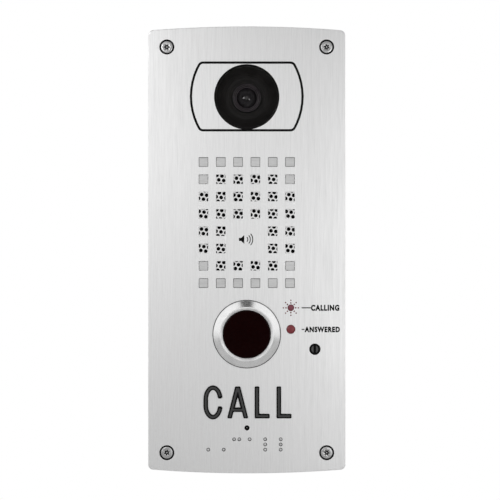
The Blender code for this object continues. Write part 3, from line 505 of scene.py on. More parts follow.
def woven(name, colour):
    """Fine cloth: two sets of threads that cross."""
    s = Shader(name, colour, 1.0, Specular_IOR_Level=0.1)
    threads = []
    for direction in ("X", "Z"):
        wave = s.node("ShaderNodeTexWave", wave_type="BANDS", bands_direction=direction)
        wave.inputs["Scale"].default_value = 900
        s.link(s.coordinates, wave.inputs["Vector"])
        threads.append(wave.outputs["Fac"])
    cross = s.math("MULTIPLY", *threads)
    s.set_colour(s.mixed(cross, shade(colour, 0.4), shade(colour, 1.6)))
    s.bump(cross, 0.00008, 0.8)
    return s.material


def solder_mask(name):
    """A circuit board: green lacquer over copper tracks, with bare pads."""
    s = Shader(name, (0.01, 0.09, 0.035), 0.38)
    tracks = s.node("ShaderNodeTexBrick", offset=0.35)
    tracks.inputs["Scale"].default_value = 1.0
    tracks.inputs["Mortar Size"].default_value = 0.06
    tracks.inputs["Brick Width"].default_value = 1.7
    turned = s.node("ShaderNodeMapping")
    turned.inputs["Rotation"].default_value = (math.pi / 2, 0, 0)
    turned.inputs["Scale"].default_value = (420, 420, 420)
    s.link(s.coordinates, turned.inputs["Vector"])
    s.link(turned.outputs["Vector"], tracks.inputs["Vector"])
    pads = s.node("ShaderNodeTexVoronoi", feature="F1")
    pads.inputs["Scale"].default_value = 1.0
    pads.inputs["Randomness"].default_value = 0.55
    s.link(s.stretched((260, 260, 260)), pads.inputs["Vector"])
    lacquer = s.mixed(tracks.outputs["Fac"], (0.008, 0.075, 0.03), (0.02, 0.16, 0.06))
    is_pad = s.ranged(pads.outputs["Distance"], 1, 0, 0.10, 0.14)
    s.set_colour(s.mixed(is_pad, lacquer, (0.55, 0.5, 0.4)))
    s.bump(tracks.outputs["Fac"], 0.00004, 0.4)
    return s.material


def window_material(name, tint, gloss):
    """A flat clear window: what is behind it shows through its tint, under a thin reflection."""
    s = Shader(name, tint, gloss)
    through = s.node("ShaderNodeBsdfTransparent")
    through.inputs["Color"].default_value = (*tint, 1)
    shine = s.node("ShaderNodeBsdfGlossy")
    smears = s.noise(140, 4.0, rough=0.5)
    s.link(s.ranged(smears, gloss * 0.5, gloss * 2.0, 0, 1), shine.inputs["Roughness"])
    facing = s.node("ShaderNodeFresnel")
    facing.inputs["IOR"].default_value = 1.33
    mix = s.node("ShaderNodeMixShader")
    s.link(facing.outputs["Fac"], mix.inputs["Fac"])
    s.link(through.outputs["BSDF"], mix.inputs[1])
    s.link(shine.outputs["BSDF"], mix.inputs[2])
    s.link(mix.outputs["Shader"], s.tree.nodes["Material Output"].inputs["Surface"])
    s.tree.nodes.remove(s.shader)
    return s.material


def bright_zinc(name):
    """Bright matt plating, nearly white, with a fine grain."""
    s = Shader(name, grey(0.95), 0.6, 0.15)
    fine = s.noise((2600, 2600, 900), 4.0)
    s.set_colour(s.mixed(s.ranged(fine, 0, 1), grey(0.94), grey(1.0)))
    s.bump(fine, 0.00001, 0.3)
    return s.material


def lens_coating(name):
    """A coated front element: near black, with a painted highlight in its middle as a glint, inside a slightly
    lighter painted glow.
    """
    coat = {"Specular_IOR_Level": 0.3, "Coat_Weight": 0.3, "Coat_Roughness": 0.03}
    s = Shader(name, (0.006, 0.005, 0.008), 0.05, **coat)
    split = s.node("ShaderNodeSeparateXYZ")
    s.link(s.coordinates, split.inputs["Vector"])
    squares = [s.math("MULTIPLY", axis, axis) for axis in (split.outputs["X"], split.outputs["Z"])]
    radius = s.math("SQRT", s.math("ADD", *squares), 0)
    # painted highlight in the middle and a faint painted glow round it, by distance from the axis
    painted_glint = s.ranged(radius, 1, 0, 0.0003, 0.0012, smooth=True)
    painted_glow = s.ranged(radius, 1, 0, 0.0010, 0.0042, smooth=True)
    outer = s.mixed(painted_glow, (0.034, 0.030, 0.033), (0.040, 0.036, 0.040))
    cloud = s.noise(700, 2.0)
    outer = s.mixed(s.ranged(cloud, 0, 0.4), outer, (0.028, 0.024, 0.030))
    s.set_colour(s.mixed(painted_glint, outer, (0.26, 0.25, 0.255)))
    return s.material


def brushed_plastic(name, colour, roughness):
    """Moulded plastic with fine upright ribs, as on a light guide."""
    s = Shader(name, colour, roughness, Specular_IOR_Level=0.25)
    ribs = s.noise((2600, 2600, 160), 3.0, rough=0.6)
    s.tint(ribs, colour, 0.55, 1.5)
    s.bump(ribs, 0.00003, 0.6)
    return s.material


STEEL = brushed_metal("steel_plate", grey(0.87), 0.36, contrast=1.15)
# darker copy of the plate steel for the blind squares' floors: painted shade in the shallow recess, over a real
# cross grain
STEEL_CELL_PAINTED_SHADE = brushed_metal("steel_blind_square_painted_shade", grey(0.60), 0.42, (300, 300, 3400), (90, 90, 900), 1.6)
SHEET_STEEL = bright_zinc("steel_perforated")
TURNED = ring_metal("steel_turned", grey(0.82), 0.22, 4200, 0.0000012)
# lighter, rougher copy of the turned steel for the bezel's lip: a rougher finish, and a lighter tone that is
# painted highlight
LIP_STEEL_PAINTED_HIGHLIGHT = plain_metal("steel_lip_painted_highlight", grey(0.96), 0.55)
BRAILLE_STEEL = plain_metal("steel_braille", grey(0.70), 0.42)
SCREW_METAL = ring_metal("steel_screw", grey(0.53), 0.30, 1800)
# near-black metal for the screws' sockets: painted shade
SOCKET_PAINTED_SHADE = plain_metal("screw_socket_painted_shade", grey(0.05), 0.5)
PIN_METAL = plain_metal("screw_pin", grey(0.65), 0.3)
# near black for recesses and gaps: painted shade
RECESS_PAINTED_SHADE = moulded("recess_shadow", grey(0.012), 0.7, 3000, 0.00001, Specular_IOR_Level=0.15)
ZINC = plain_metal("zinc_plating", (0.52, 0.53, 0.55), 0.38)
BRASS = plain_metal("brass_plain", (0.68, 0.48, 0.18), 0.32)
ALUMINIUM = brushed_metal("aluminium_extruded", (0.62, 0.62, 0.64), 0.4, (300, 3000, 3000), (60, 400, 400))
GOLD = plain_metal("gold_flash", (0.83, 0.6, 0.22), 0.22)
LETTER_TOP = moulded("letter_face", grey(0.040), 0.55, 3000, 0.00002, Specular_IOR_Level=0.3)
LETTER_SIDE_PAINTED_SHADE = moulded("letter_edge_painted_shade", grey(0.0025), 0.7, 3000, 0.00001, Specular_IOR_Level=0.08)
INK = moulded("printed_ink", grey(0.0025), 0.7, 4000, 0.000005, Specular_IOR_Level=0.08)
RED_INK = moulded("printed_red", (0.12, 0.012, 0.018), 0.7, 4000, 0.000005, Specular_IOR_Level=0.08)
HOUSING = moulded("housing_black", grey(0.021), 0.5, 1100, 0.00016)
INNER_BLACK = moulded("camera_black", (0.046, 0.042, 0.0405), 0.6, 2500, 0.00002, Specular_IOR_Level=0.3)
LENS_RING = moulded("lens_ring_black", (0.15, 0.125, 0.14), 0.3, 2500, 0.000005, Specular_IOR_Level=0.6)
# darker copy of the lens ring's black for its grooves and deep faces: painted shade
LENS_GROOVE_PAINTED_SHADE = moulded("lens_groove_painted_shade", (0.03, 0.026, 0.028), 0.6, 2500, 0.00001, Specular_IOR_Level=0.2)
# rubber darker than the seal's: black rubber with painted shade
RUBBER_PAINTED_SHADE = moulded("rubber_shadow", grey(0.004), 0.8, 1200, 0.00003, Specular_IOR_Level=0.1)
RUBBER = moulded("rubber_black", grey(0.016), 0.75, 1200, 0.00004)
FOAM = foam("foam_black", grey(0.02))
CLOTH = woven("cloth_black", grey(0.006))
PAPER = moulded("cone_black", grey(0.03), 0.85, 700, 0.00008)
FERRITE = plain_metal("ferrite_grey", grey(0.09), 0.6, 1200)
BOARD = solder_mask("board_green")
GREEN_PLASTIC = moulded("connector_green", (0.035, 0.25, 0.09), 0.45, 1500)
WHITE_PLASTIC = moulded("reset_white", (0.6, 0.6, 0.57), 0.5, 1500)
WINDOW = window_material("window_smoked", (0.84, 0.84, 0.84), 0.03)
COATED_GLASS = lens_coating("lens_coated_painted_glint")
BUTTON_RED = polished("button_dark_red", (0.0062, 0.0006, 0.0006), 0.09, Specular_IOR_Level=0.2)
LED_PINK = polished("led_calling", (0.215, 0.062, 0.083), 0.3, Specular_IOR_Level=0.25)
LED_RED = polished("led_answered", (0.215, 0.04, 0.048), 0.3, Specular_IOR_Level=0.25)
SENSOR_BLACK = polished("sensor_black", grey(0.0025), 0.4, Specular_IOR_Level=0.1)
SENSOR_GREY = brushed_plastic("sensor_lobe", grey(0.085), 0.5)


# ---------------------------------------------------------------- faceplate
def grille_cells():
    """(x, y, is it open) for each square of the grille, without the plain field in it."""
    middle_column, middle_row = (GRILLE_COLUMNS - 1) / 2, (GRILLE_ROWS - 1) / 2
    for row in range(GRILLE_ROWS):
        for column in range(GRILLE_COLUMNS):
            across, up = column - middle_column, middle_row - row
            if abs(across) < 1 and row in (4, 5):
                continue
            is_open = abs(up) < 3 and not (abs(across) > 2 and abs(up) > 2)
            yield GRILLE_AT[0] + across * GRILLE_PITCH, GRILLE_AT[1] + up * GRILLE_PITCH, is_open


def braille_dots():
    for index, numbers in enumerate(BRAILLE_CELLS):
        for number in numbers:
            column, row = divmod(number - 1, 3)
            yield BRAILLE_AT[0] + index * BRAILLE_CELL + column * BRAILLE_DOT, BRAILLE_AT[1] - row * BRAILLE_DOT


def make_faceplate():
    bm = bmesh.new()
    outlines = [(arched_outline(HALF_WIDTH, HALF_HEIGHT, CORNER_RADIUS), 0.35, 0.2)]
    half = GRILLE_SQUARE / 2
    for x, y, _ in grille_cells():
        outlines.append((filleted(box_corners(half, half, (x, y)), 0.22, 3), 0.06, 0))
    for at, radius, sides, edge in (
        (CAMERA_AT, CAMERA_HOLE_RADIUS, 128, 0.08),
        (BUTTON_AT, SLEEVE_HOLE_RADIUS, 96, 0),
        (MICROPHONE_AT, MICROPHONE_HOLE_RADIUS, 32, 0.06),
        (CALLING_AT, CALLING_HOLE_RADIUS, 32, 0.10),
        (ANSWERED_AT, ANSWERED_HOLE_RADIUS, 40, 0.10),
        (SENSOR_AT, SENSOR_HOLE_RADIUS, 40, 0.15),
    ):
        outlines.append((circle(radius, at, sides), edge, 0))
    outlines += [(circle(SCREW_HOLE_RADIUS, at, 64), 0.06, 0) for at in SCREW_PLACES]
    slab(bm, outlines, PLATE_BACK, FRONT, 4)
    piece("faceplate_finished", bm, [STEEL], replaces=("faceplate",))


def make_blind_squares():
    """Each blind square is a milled floor in a groove. The groove is coloured near black as painted shade, and
    the floor is a darker copy of the plate steel, also as painted shade.
    """
    bm = bmesh.new()
    for x, y in [(x, y) for x, y, is_open in grille_cells() if not is_open]:
        half = GRILLE_SQUARE / 2
        outer = box_corners(half + 0.25, half + 0.25, (x, y))
        inner = box_corners(half - 0.02, half - 0.02, (x, y))
        floor = filleted(box_corners(half - 0.19, half - 0.19, (x, y)), 0.15, 2)
        first = len(bm.faces)
        slab(bm, [(outer, 0, 0)], FRONT - 1.5, FRONT - 1.1)
        slab(bm, [(outer, 0, 0), (inner, 0, 0)], FRONT - 1.2, FRONT - 0.35)
        # the groove's bottom and walls take the near-black recess material: painted shade round each floor
        bm.faces.ensure_lookup_table()
        for face in bm.faces[first:]:
            face.material_index = 1
        slab(bm, [(floor, 0.05, 0)], FRONT - 1.2, FRONT - 0.45)
    piece("grille_blind_squares", bm, [STEEL_CELL_PAINTED_SHADE, RECESS_PAINTED_SHADE])


def make_braille():
    """Steel balls pressed into the plate, each in a fine ring coloured near black as painted shade round the
    ball.
    """
    balls, sockets = bmesh.new(), bmesh.new()
    ball_radius, ball_rise, steps = 0.62, 0.58, 7
    for at in braille_dots():
        rings = []
        for k in range(steps):
            a = math.pi / 2 * k / steps
            out = FRONT - 0.05 + ball_rise * math.sin(a)
            rings.append([(x, y, out) for x, y in circle(ball_radius * math.cos(a), at, 32)])
        _, top = loft(balls, rings)
        balls.faces.new(top)
        # a thin flat ring round each ball in near black: painted shade in the press-fit gap
        slab(sockets, [(circle(0.88, at, 32), 0, 0), (circle(0.58, at, 32), 0, 0)], FRONT - 0.02, FRONT + 0.012)
    piece("braille_balls", balls, [BRAILLE_STEEL], crease=60)
    piece("braille_rings", sockets, [RECESS_PAINTED_SHADE])


def make_countersinks():
    # the countersinks are near black: painted shade in the gap round each screw head
    bm = bmesh.new()
    cone = [
        (4.3, PLATE_BACK),
        (2.0, PLATE_BACK - 0.05),
        (2.0, PLATE_BACK + 0.2),
        (SCREW_HOLE_RADIUS + 0.01, FRONT - 0.5),
        (SCREW_HOLE_RADIUS + 0.01, FRONT - 0.1),
    ]
    for at in SCREW_PLACES:
        loft(bm, [[(x, y, out) for x, y in circle(r, at, 64)] for r, out in cone], inward=True)
    piece("countersinks", bm, [RECESS_PAINTED_SHADE])


def make_camera_border():
    """The black line round the camera: flat top and bottom, and sides that bow outwards."""
    half_x, half_y, side_radius, corner, half_line = 26.95, 16.35, 32.0, 2.2, 0.56
    x0, y0 = CAMERA_AT[0], CAMERA_AT[1] + 0.2
    centre = half_x - side_radius
    limit = math.asin(half_y / side_radius)
    arc = [limit * (k / 5 - 1) for k in range(11)]
    right = [(centre + side_radius * math.cos(a), side_radius * math.sin(a)) for a in arc]
    corners = right + [(-x, y) for x, y in reversed(right)]
    path = filleted([(x0 + x, y0 + y) for x, y in corners], corner, 4)
    edges = moved(path, half_line), moved(path, -half_line)
    ring_piece("camera_border", *edges, FRONT, FRONT + 0.025, INK, "letter_black")


# ---------------------------------------------------------------- letters and print
def stroke(path, half):
    """The outline of a stroke with flat ends."""
    turns = [math.atan2(b[1] - a[1], b[0] - a[0]) for a, b in zip(path, path[1:])]
    left, right = [], []
    for (x, y), before, after in zip(path, turns[:1] + turns, turns + turns[-1:]):
        middle, reach = (before + after) / 2, half / math.cos((after - before) / 2)
        left.append((x - reach * math.sin(middle), y + reach * math.cos(middle)))
        right.append((x + reach * math.sin(middle), y - reach * math.cos(middle)))
    return right + left[::-1]


def letter_piece(name, outlines, at):
    """A raised letter with a greyer face, whose sides are coloured near black as painted shade. outlines(inset)
    gives its edge and its holes.
    """
    bm = bmesh.new()
    slab(bm, [(points, 0.2, 0) for points in outlines(0)], FRONT + 0.02, FRONT + 0.86, 3)
    sides = len(bm.faces)
    slab(bm, [(points, 0.05, 0) for points in outlines(0.62)], FRONT + 0.8, FRONT + 0.93, 2)
    # the sides take near black: painted shade on the letter's sides
    bm.faces.ensure_lookup_table()
    for face in bm.faces[:sides]:
        face.material_index = 1
    node = name.removesuffix("_raised")
    piece(name, bm, [LETTER_TOP, LETTER_SIDE_PAINTED_SHADE], at, replaces=(node,))


def letter_c(inset):
    """Ellipse arcs over the top and under the foot, joined by a short straight back."""
    half_x, end_y, bulge, middle = 3.5, 1.3, 5.8, LETTER_HEIGHT / 2
    first = math.radians(12) + inset / 5
    turns = [first + (math.pi - first) * k / 28 for k in range(29)]
    top = [(half_x * math.cos(a), middle + end_y + bulge * math.sin(a)) for a in turns]
    path = top + [(x, 2 * middle - y) for x, y in reversed(top)]
    outline = stroke(path, STROKE_HALF - inset)
    return [round_ends(outline, len(path))]


def round_ends(outline, count):
    """Swaps a stroke's two flat ends for flattened half circles."""
    left, right = outline[:count], outline[count:]
    points = []
    for side, other in ((left, right), (right, left)):
        points += side
        start, end = Vector(side[-1]), Vector(other[0])
        middle, arm = (start + end) / 2, (start - end) / 2
        ahead = (start - Vector(side[-2])).normalized() * arm.length * 0.6
        for k in range(1, 8):
            a = math.pi * k / 8
            points.append(tuple(middle + arm * math.cos(a) + ahead * math.sin(a)))
    return points


def letter_a(inset):
    half, height = STROKE_HALF - inset, LETTER_HEIGHT - inset
    foot_x, apex_x, bar_y = 3.7, 0.35, 4.1
    lean = math.atan2(foot_x - apex_x, LETTER_HEIGHT - 2 * STROKE_HALF)
    edge = half / math.cos(lean)

    def leg_x(y):
        return foot_x + (STROKE_HALF - y) * math.tan(lean)

    bar_low, bar_high = bar_y - 0.9 * STROKE_HALF + inset, bar_y + 0.9 * STROKE_HALF - inset
    right = [
        (leg_x(bar_low) - edge, bar_low),
        (leg_x(inset) - edge, inset),
        (leg_x(inset) + edge, inset),
        (leg_x(height) + edge, height),
    ]
    inner_top = STROKE_HALF + (foot_x - edge) / math.tan(lean)
    inner = [(leg_x(bar_high) - edge, bar_high), (0, inner_top), (edge - leg_x(bar_high), bar_high)]
    corner = max(0.1, 0.5 - inset)
    return [filleted(right + [(-x, y) for x, y in reversed(right)], corner, 4), filleted(inner[::-1], 0.3, 3)]


def letter_l(inset):
    low, high = inset - STROKE_HALF, STROKE_HALF - inset
    foot, top, inner = 5.0 + high, LETTER_HEIGHT - inset, STROKE_HALF + high
    corners = [(low, inset), (foot, inset), (foot, inner), (high, inner), (high, top), (low, top)]
    return [filleted(corners, max(0.1, 0.5 - inset), 4)]


def make_letters():
    base = node_box("letter_a")[0].y + 0.1
    for name, outlines, x in (
        ("letter_c_raised", letter_c, -16.3),
        ("letter_a_raised", letter_a, -4.35),
        ("letter_l_first_raised", letter_l, 4.95),
        ("letter_l_second_raised", letter_l, 15.5),
    ):
        letter_piece(name, outlines, (x, base))


def printed_word(name, text, left, middle, width, height):
    """A word in bold capitals, printed on the plate and fitted to that width and height."""
    curve = bpy.data.curves.new(name, "FONT")
    curve.body = text
    curve.offset = 0.06
    curve.space_character = 1.2
    curve.resolution_u = 4
    helper = bpy.data.objects.new(name, curve)
    bpy.context.scene.collection.objects.link(helper)
    graph = bpy.context.evaluated_depsgraph_get()
    flat = bpy.data.meshes.new_from_object(helper.evaluated_get(graph))
    bpy.data.objects.remove(helper)
    bm = bmesh.new()
    bm.from_mesh(flat)
    low_x, high_x = min(v.co.x for v in bm.verts), max(v.co.x for v in bm.verts)
    low_y, high_y = min(v.co.y for v in bm.verts), max(v.co.y for v in bm.verts)
    for v in bm.verts:
        v.co.x = left + (v.co.x - low_x) / (high_x - low_x) * width
        v.co.y = middle + ((v.co.y - low_y) / (high_y - low_y) - 0.5) * height
        v.co.z = FRONT + PRINT_HEIGHT
    piece(name, bm, [INK])


def printed_shapes(name, outlines, material):
    bm = bmesh.new()
    for outline in outlines:
        slab(bm, [(outline, 0, 0)], FRONT - 0.05, FRONT + PRINT_HEIGHT)
    piece(name, bm, [material])


def make_print():
    """The legends, each led to its light by a dash, and the rays round the upper light."""
    dashes = []
    for name, text, left, middle, width, height in (
        ("word_calling", "CALLING", 31.0, -28.0, 13.7, 2.95),
        ("word_answered", "ANSWERED", 27.9, -38.45, 17.1, 2.75),
    ):
        printed_word(name, text, left, middle, width, height)
        dash = left - 0.05 - DASH_LEFT
        dashes.append(box_corners(dash / 2, DASH_HALF, (DASH_LEFT + dash / 2, middle)))
    printed_shapes("legend_dashes", dashes, INK)
    rays = []
    for k in range(8):
        a = math.tau * k / 8
        for reach, size in ((2.35, 0.36), (3.6, 0.34)):
            at = (CALLING_AT[0] + reach * math.cos(a), CALLING_AT[1] + reach * math.sin(a))
            rays.append(circle(size, at, 12))
    printed_shapes("calling_rays", rays, RED_INK)


def make_pictogram():
    """A plain loudspeaker pictogram with three sound waves, in the middle of the grille."""
    x, y = GRILLE_AT[0] - 1.2, GRILLE_AT[1] - GRILLE_PITCH + 0.2
    cone = [(-2.6, -0.75), (-1.5, -0.75), (0, -2.1), (0, 2.1), (-1.5, 0.75), (-2.6, 0.75)]
    shapes = [[(x + px, y + py) for px, py in cone]]
    turns = [math.radians(-42 + 84 * k / 16) for k in range(17)]
    wave_half = 0.22
    for radius in (1.7, 2.9, 4.1):
        outer = [(x + (radius + wave_half) * math.cos(a), y + (radius + wave_half) * math.sin(a)) for a in turns]
        inner = [(x + (radius - wave_half) * math.cos(a), y + (radius - wave_half) * math.sin(a)) for a in turns]
        shapes.append(outer + inner[::-1])
    printed_shapes("speaker_pictogram", shapes, INK)


# ---------------------------------------------------------------- camera
def make_camera_window():
    window = [(0, 3.6), (14.9, 3.5), (15.5, 3.1), (15.5, 0.2), (17.0, 0.2), (17.0, -1.6), (0, -1.6)]
    profile = softened(window, 0.2)
    replaced = ("camera_window",)
    turned("camera_window_clear", profile, [WINDOW], "smoked_window", CAMERA_AT, "panel", replaced, 128)


def make_camera_cup():
    """The black funnel round the lens with the flange that holds it, and the window's rubber lip."""
    cup_back, cup_front = -14.9, -1.75
    funnel = [
        *((16.2, cup_front), (16.2, cup_back), (14.7, cup_back), (14.7, -8.5), (7.1, -8.3), (7.1, -7.0)),
        *((8.6, -7.0), (8.6, -6.3), (10.4, -6.3), (10.4, -5.4), (11.0, -5.2), (12.4, -4.2), (12.4, -3.9)),
        (14.8, cup_front),
    ]
    bm = bmesh.new()
    spin(bm, softened(funnel, 0.12, 2), 128)
    flange = [(rounded_box(23.5, 16.9, 4.0), 0.2, 0.3), (circle(15.9, sides=96), 0, 0)]
    stud_holes = [(circle(1.7, at, 24), 0, 0) for at in ((-20, 11), (20, -11))]
    slab(bm, flange + stud_holes, -3.8, cup_front)
    piece("camera_cup", bm, [INNER_BLACK], CAMERA_AT, replaces=("camera_housing",))
    # the window's lip is black rubber darkened further: painted shade round the window
    lip = softened([(15.74, 3.95), (15.74, 0.3), (15.5, 0.3), (15.5, 3.7)], 0.06)
    turned("camera_window_lip", lip, [RUBBER_PAINTED_SHADE], "black_rubber", CAMERA_AT, segments=128)


def make_lens():
    """The barrel, with two grooves in its face, and the domed front element in it."""
    groove_low, groove_high, inner_low = -4.8, -4.25, -6
    barrel = [
        *((6.9, -4.2), (6.9, -9.0), (5.9, -9.5), (5.9, -13.0), (3.5, -13.0), (3.5, -7.0), (4.95, -6.4)),
        *((4.95, -4.3), (5.15, -4.1), (5.35, -4.1), (5.45, -4.5), (5.65, -4.5), (5.75, -4.0), (6.1, -4.0)),
        *((6.2, -4.6), (6.35, -4.6), (6.5, -3.9), (6.75, -3.95)),
    ]
    bm = bmesh.new()
    spin(bm, softened(barrel, 0.05, 2), 96)
    # faces in the two grooves and deep in the barrel take the darker copy: painted shade
    for face in bm.faces:
        out = face.calc_center_median().z
        face.material_index = 1 if groove_low < out < groove_high or out < inner_low else 0
    piece("lens_ring", bm, [LENS_RING, LENS_GROOVE_PAINTED_SHADE], CAMERA_AT, replaces=("lens_barrel",))

    top, rim_radius, curve_radius = -3.9, 4.85, 9.0
    dome = [(0, top)]
    for k in range(1, 9):
        r = rim_radius * k / 8
        dome.append((r, top - curve_radius + math.sqrt(curve_radius**2 - r**2)))
    glass = dome + [(rim_radius, -6.1), (3.3, -6.8), (0, -6.8)]
    turned("lens_front", glass, [COATED_GLASS], "lens_glass", CAMERA_AT, "panel", ("lens_glass",), 64)


# ---------------------------------------------------------------- grille
def perforated_cell(x, y, back, out):
    """The rings of points, back last, of one hole and the six-sided cell of sheet round it."""
    sides = 18
    hole = circle(PERFORATION_RADIUS, (x, y), sides)
    edge = []
    for k in range(sides):
        a = math.tau * k / sides
        side_angle = (a - PERFORATION_TURN + math.pi / 6) % (math.pi / 3) - math.pi / 6
        flat = PERFORATION_PITCH / 2 / math.cos(side_angle)
        edge.append((x + flat * math.cos(a), y + flat * math.sin(a)))
    bevel = 0.05
    levels = ((edge, out), (moved(hole, bevel), out), (hole, out - bevel), (hole, back), (edge, back))
    return [[(px, py, level) for px, py in points] for points, level in levels]


def make_grille_sheet():
    """The perforated sheet, tiled from one six-sided cell round each hole."""
    bm = bmesh.new()
    back, out = (corner.z + SHEET_LIFT for corner in node_box("grille_sheet"))
    reach = 24.6
    cos_turn, sin_turn = math.cos(PERFORATION_TURN), math.sin(PERFORATION_TURN)
    for row in range(-22, 23):
        for column in range(-34, 35):
            along = (column + row / 2) * PERFORATION_PITCH
            across = row * math.sqrt(3) / 2 * PERFORATION_PITCH
            x = PERFORATION_ORIGIN[0] + along * cos_turn - across * sin_turn
            y = PERFORATION_ORIGIN[1] + along * sin_turn + across * cos_turn
            if max(abs(x), abs(y)) <= reach:
                loft(bm, perforated_cell(x, y, back, out))
    bmesh.ops.remove_doubles(bm, verts=bm.verts, dist=0.01)
    replaced = ("grille_sheet",)
    piece("grille_sheet_perforated", bm, [SHEET_STEEL], GRILLE_AT, replaces=replaced)


# ---------------------------------------------------------------- button
def make_bezel():
    flange, lip_radius = FRONT + 0.5, 13.2
    bezel = [
        *((12.45, 7.5), (12.85, 7.7), (13.35, 7.4), (15.95, 5.35), (16.2, 5.0), (16.2, flange)),
        *((14.0, flange), (14.0, -14.0), (13.0, -14.0), (13.0, 3.5), (11.62, 3.5), (11.62, 6.85)),
    ]
    bm = bmesh.new()
    spin(bm, softened(bezel, 0.2), 192)
    # faces inside the lip radius take the lighter copy: painted highlight on the lip
    for face in bm.faces:
        face.material_index = 1 if face.calc_center_median().xy.length < lip_radius else 0
    replaced = ("button_bezel",)
    piece("button_bezel_turned", bm, [TURNED, LIP_STEEL_PAINTED_HIGHLIGHT], BUTTON_AT, replaces=replaced)


def make_button():
    cap = [(0, 7.0), (6.0, 6.98), (11.3, 6.9), (11.52, 6.7), (11.52, 3.2), (12.7, 3.2), (12.7, 1.4), (0, 1.4)]
    profile = softened(cap, 0.12)
    turned("button_cap", profile, [BUTTON_RED], "button_red", BUTTON_AT, "call_button", ("button_lens",), 128)

    low, high = FRONT + 0.02, FRONT + 0.4
    seal = softened([(16.52, high), (16.52, low), (14.2, low), (14.2, high)], 0.1)
    turned("button_seal_ring", seal, [RUBBER], "black_rubber", BUTTON_AT, "panel", ("button_seal",), 128)


def make_spring():
    """The button's return spring, which on the real button shortens towards its seat as the button goes in; here
    it is drawn at rest.
    """
    (_, _, seat), (high_x, _, head) = node_box("button_spring")
    wire, turns, steps, sides = 0.35, 5.5, 24, 10
    coil_radius = high_x - BUTTON_AT[0] - wire
    count = int(turns * steps)
    loops = []
    for k in range(count + 1):
        a = math.tau * k / steps
        middle = seat + wire + (head - seat - 2 * wire) * k / count
        loop = []
        for m in range(sides):
            b = -math.tau * m / sides
            reach = coil_radius + wire * math.cos(b)
            loop.append((reach * math.cos(a), reach * math.sin(a), middle + wire * math.sin(b)))
        loops.append(loop)
    bm = bmesh.new()
    start, end = loft(bm, loops)
    bm.faces.new(list(reversed(start)))
    bm.faces.new(end)
    spring = piece("button_spring_coil", bm, [ZINC], BUTTON_AT, replaces=("button_spring",))
    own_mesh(spring)


# ---------------------------------------------------------------- lights and sensor
def make_lights():
    for name, node, at, radius, material in (
        ("calling_light", "calling_led", CALLING_AT, 1.5, LED_PINK),
        ("answered_light", "answered_led", ANSWERED_AT, 2.07, LED_RED),
    ):
        dome = [(0, FRONT + 0.1)]
        for k in range(1, 7):
            a = math.pi / 2 * k / 6
            dome.append((radius * math.sin(a), FRONT - 0.3 + 0.4 * math.cos(a)))
        profile = dome + [(radius, LIGHT_BACK), (0, LIGHT_BACK)]
        turned(name, profile, [material], "led_red", at, "panel", (node,), 48)


def make_sensor():
    """A black cup with two ribbed half-round light guides in it."""
    cup = [(2.05, 3.95), (2.6, 3.95), (2.6, LIGHT_BACK), (0.5, LIGHT_BACK), (0.5, 2.4), (2.0, 2.6)]
    turned("sensor_body", cup, [SENSOR_BLACK], "sensor_grey", SENSOR_AT, "panel", ("light_sensor",), 64)
    bm = bmesh.new()
    for side in (1, -1):
        turns = [math.radians(-76 + 152 * k / 16) for k in range(17)]
        lobe = [(side * (0.1 + 1.7 * math.cos(a)), 1.8 * math.sin(a)) for a in turns]
        slab(bm, [(lobe[::side], 0.25, 0)], 2.3, 3.75)
    piece("sensor_lobes", bm, [SENSOR_GREY], SENSOR_AT)


def make_microphone():
    """The capsule at the end of a black tube, both in the near-black recess colour as painted shade in the hole,
    with its small bright port in the middle.
    """
    can = softened([(0.3, 0.35), (0.8, 0.3), (1.9, 0.1), (2.0, -0.1), (2.0, -2.8), (0.3, -2.8)], 0.08)
    # the can is near black: painted shade in the hole
    turned("microphone_can", can, [RECESS_PAINTED_SHADE], "aluminium", MICROPHONE_AT, "panel", ("microphone",), 32)
    tube = softened([(1.22, 4.05), (1.22, 1.25), (1.0, 1.25), (1.0, 4.05)], 0.05)
    turned("microphone_tube", tube, [RECESS_PAINTED_SHADE], "black_rubber", MICROPHONE_AT, segments=32)
    bm = bmesh.new()
    add_pin(bm, 0.28, 0.2, 2.9)
    piece("microphone_port", bm, [PIN_METAL], MICROPHONE_AT)


# ---------------------------------------------------------------- security screws
def star_outline(count):
    """The six-lobed socket's edge, as that many points in order of their angle."""
    lobes = []
    for k in range(count):
        a = math.tau * k / count + math.radians(30)
        radius = 1.15 + 0.30 * math.cos(6 * a)
        lobes.append((radius * math.cos(a), radius * math.sin(a)))
    return sorted(lobes, key=lambda point: math.atan2(point[1], point[0]))


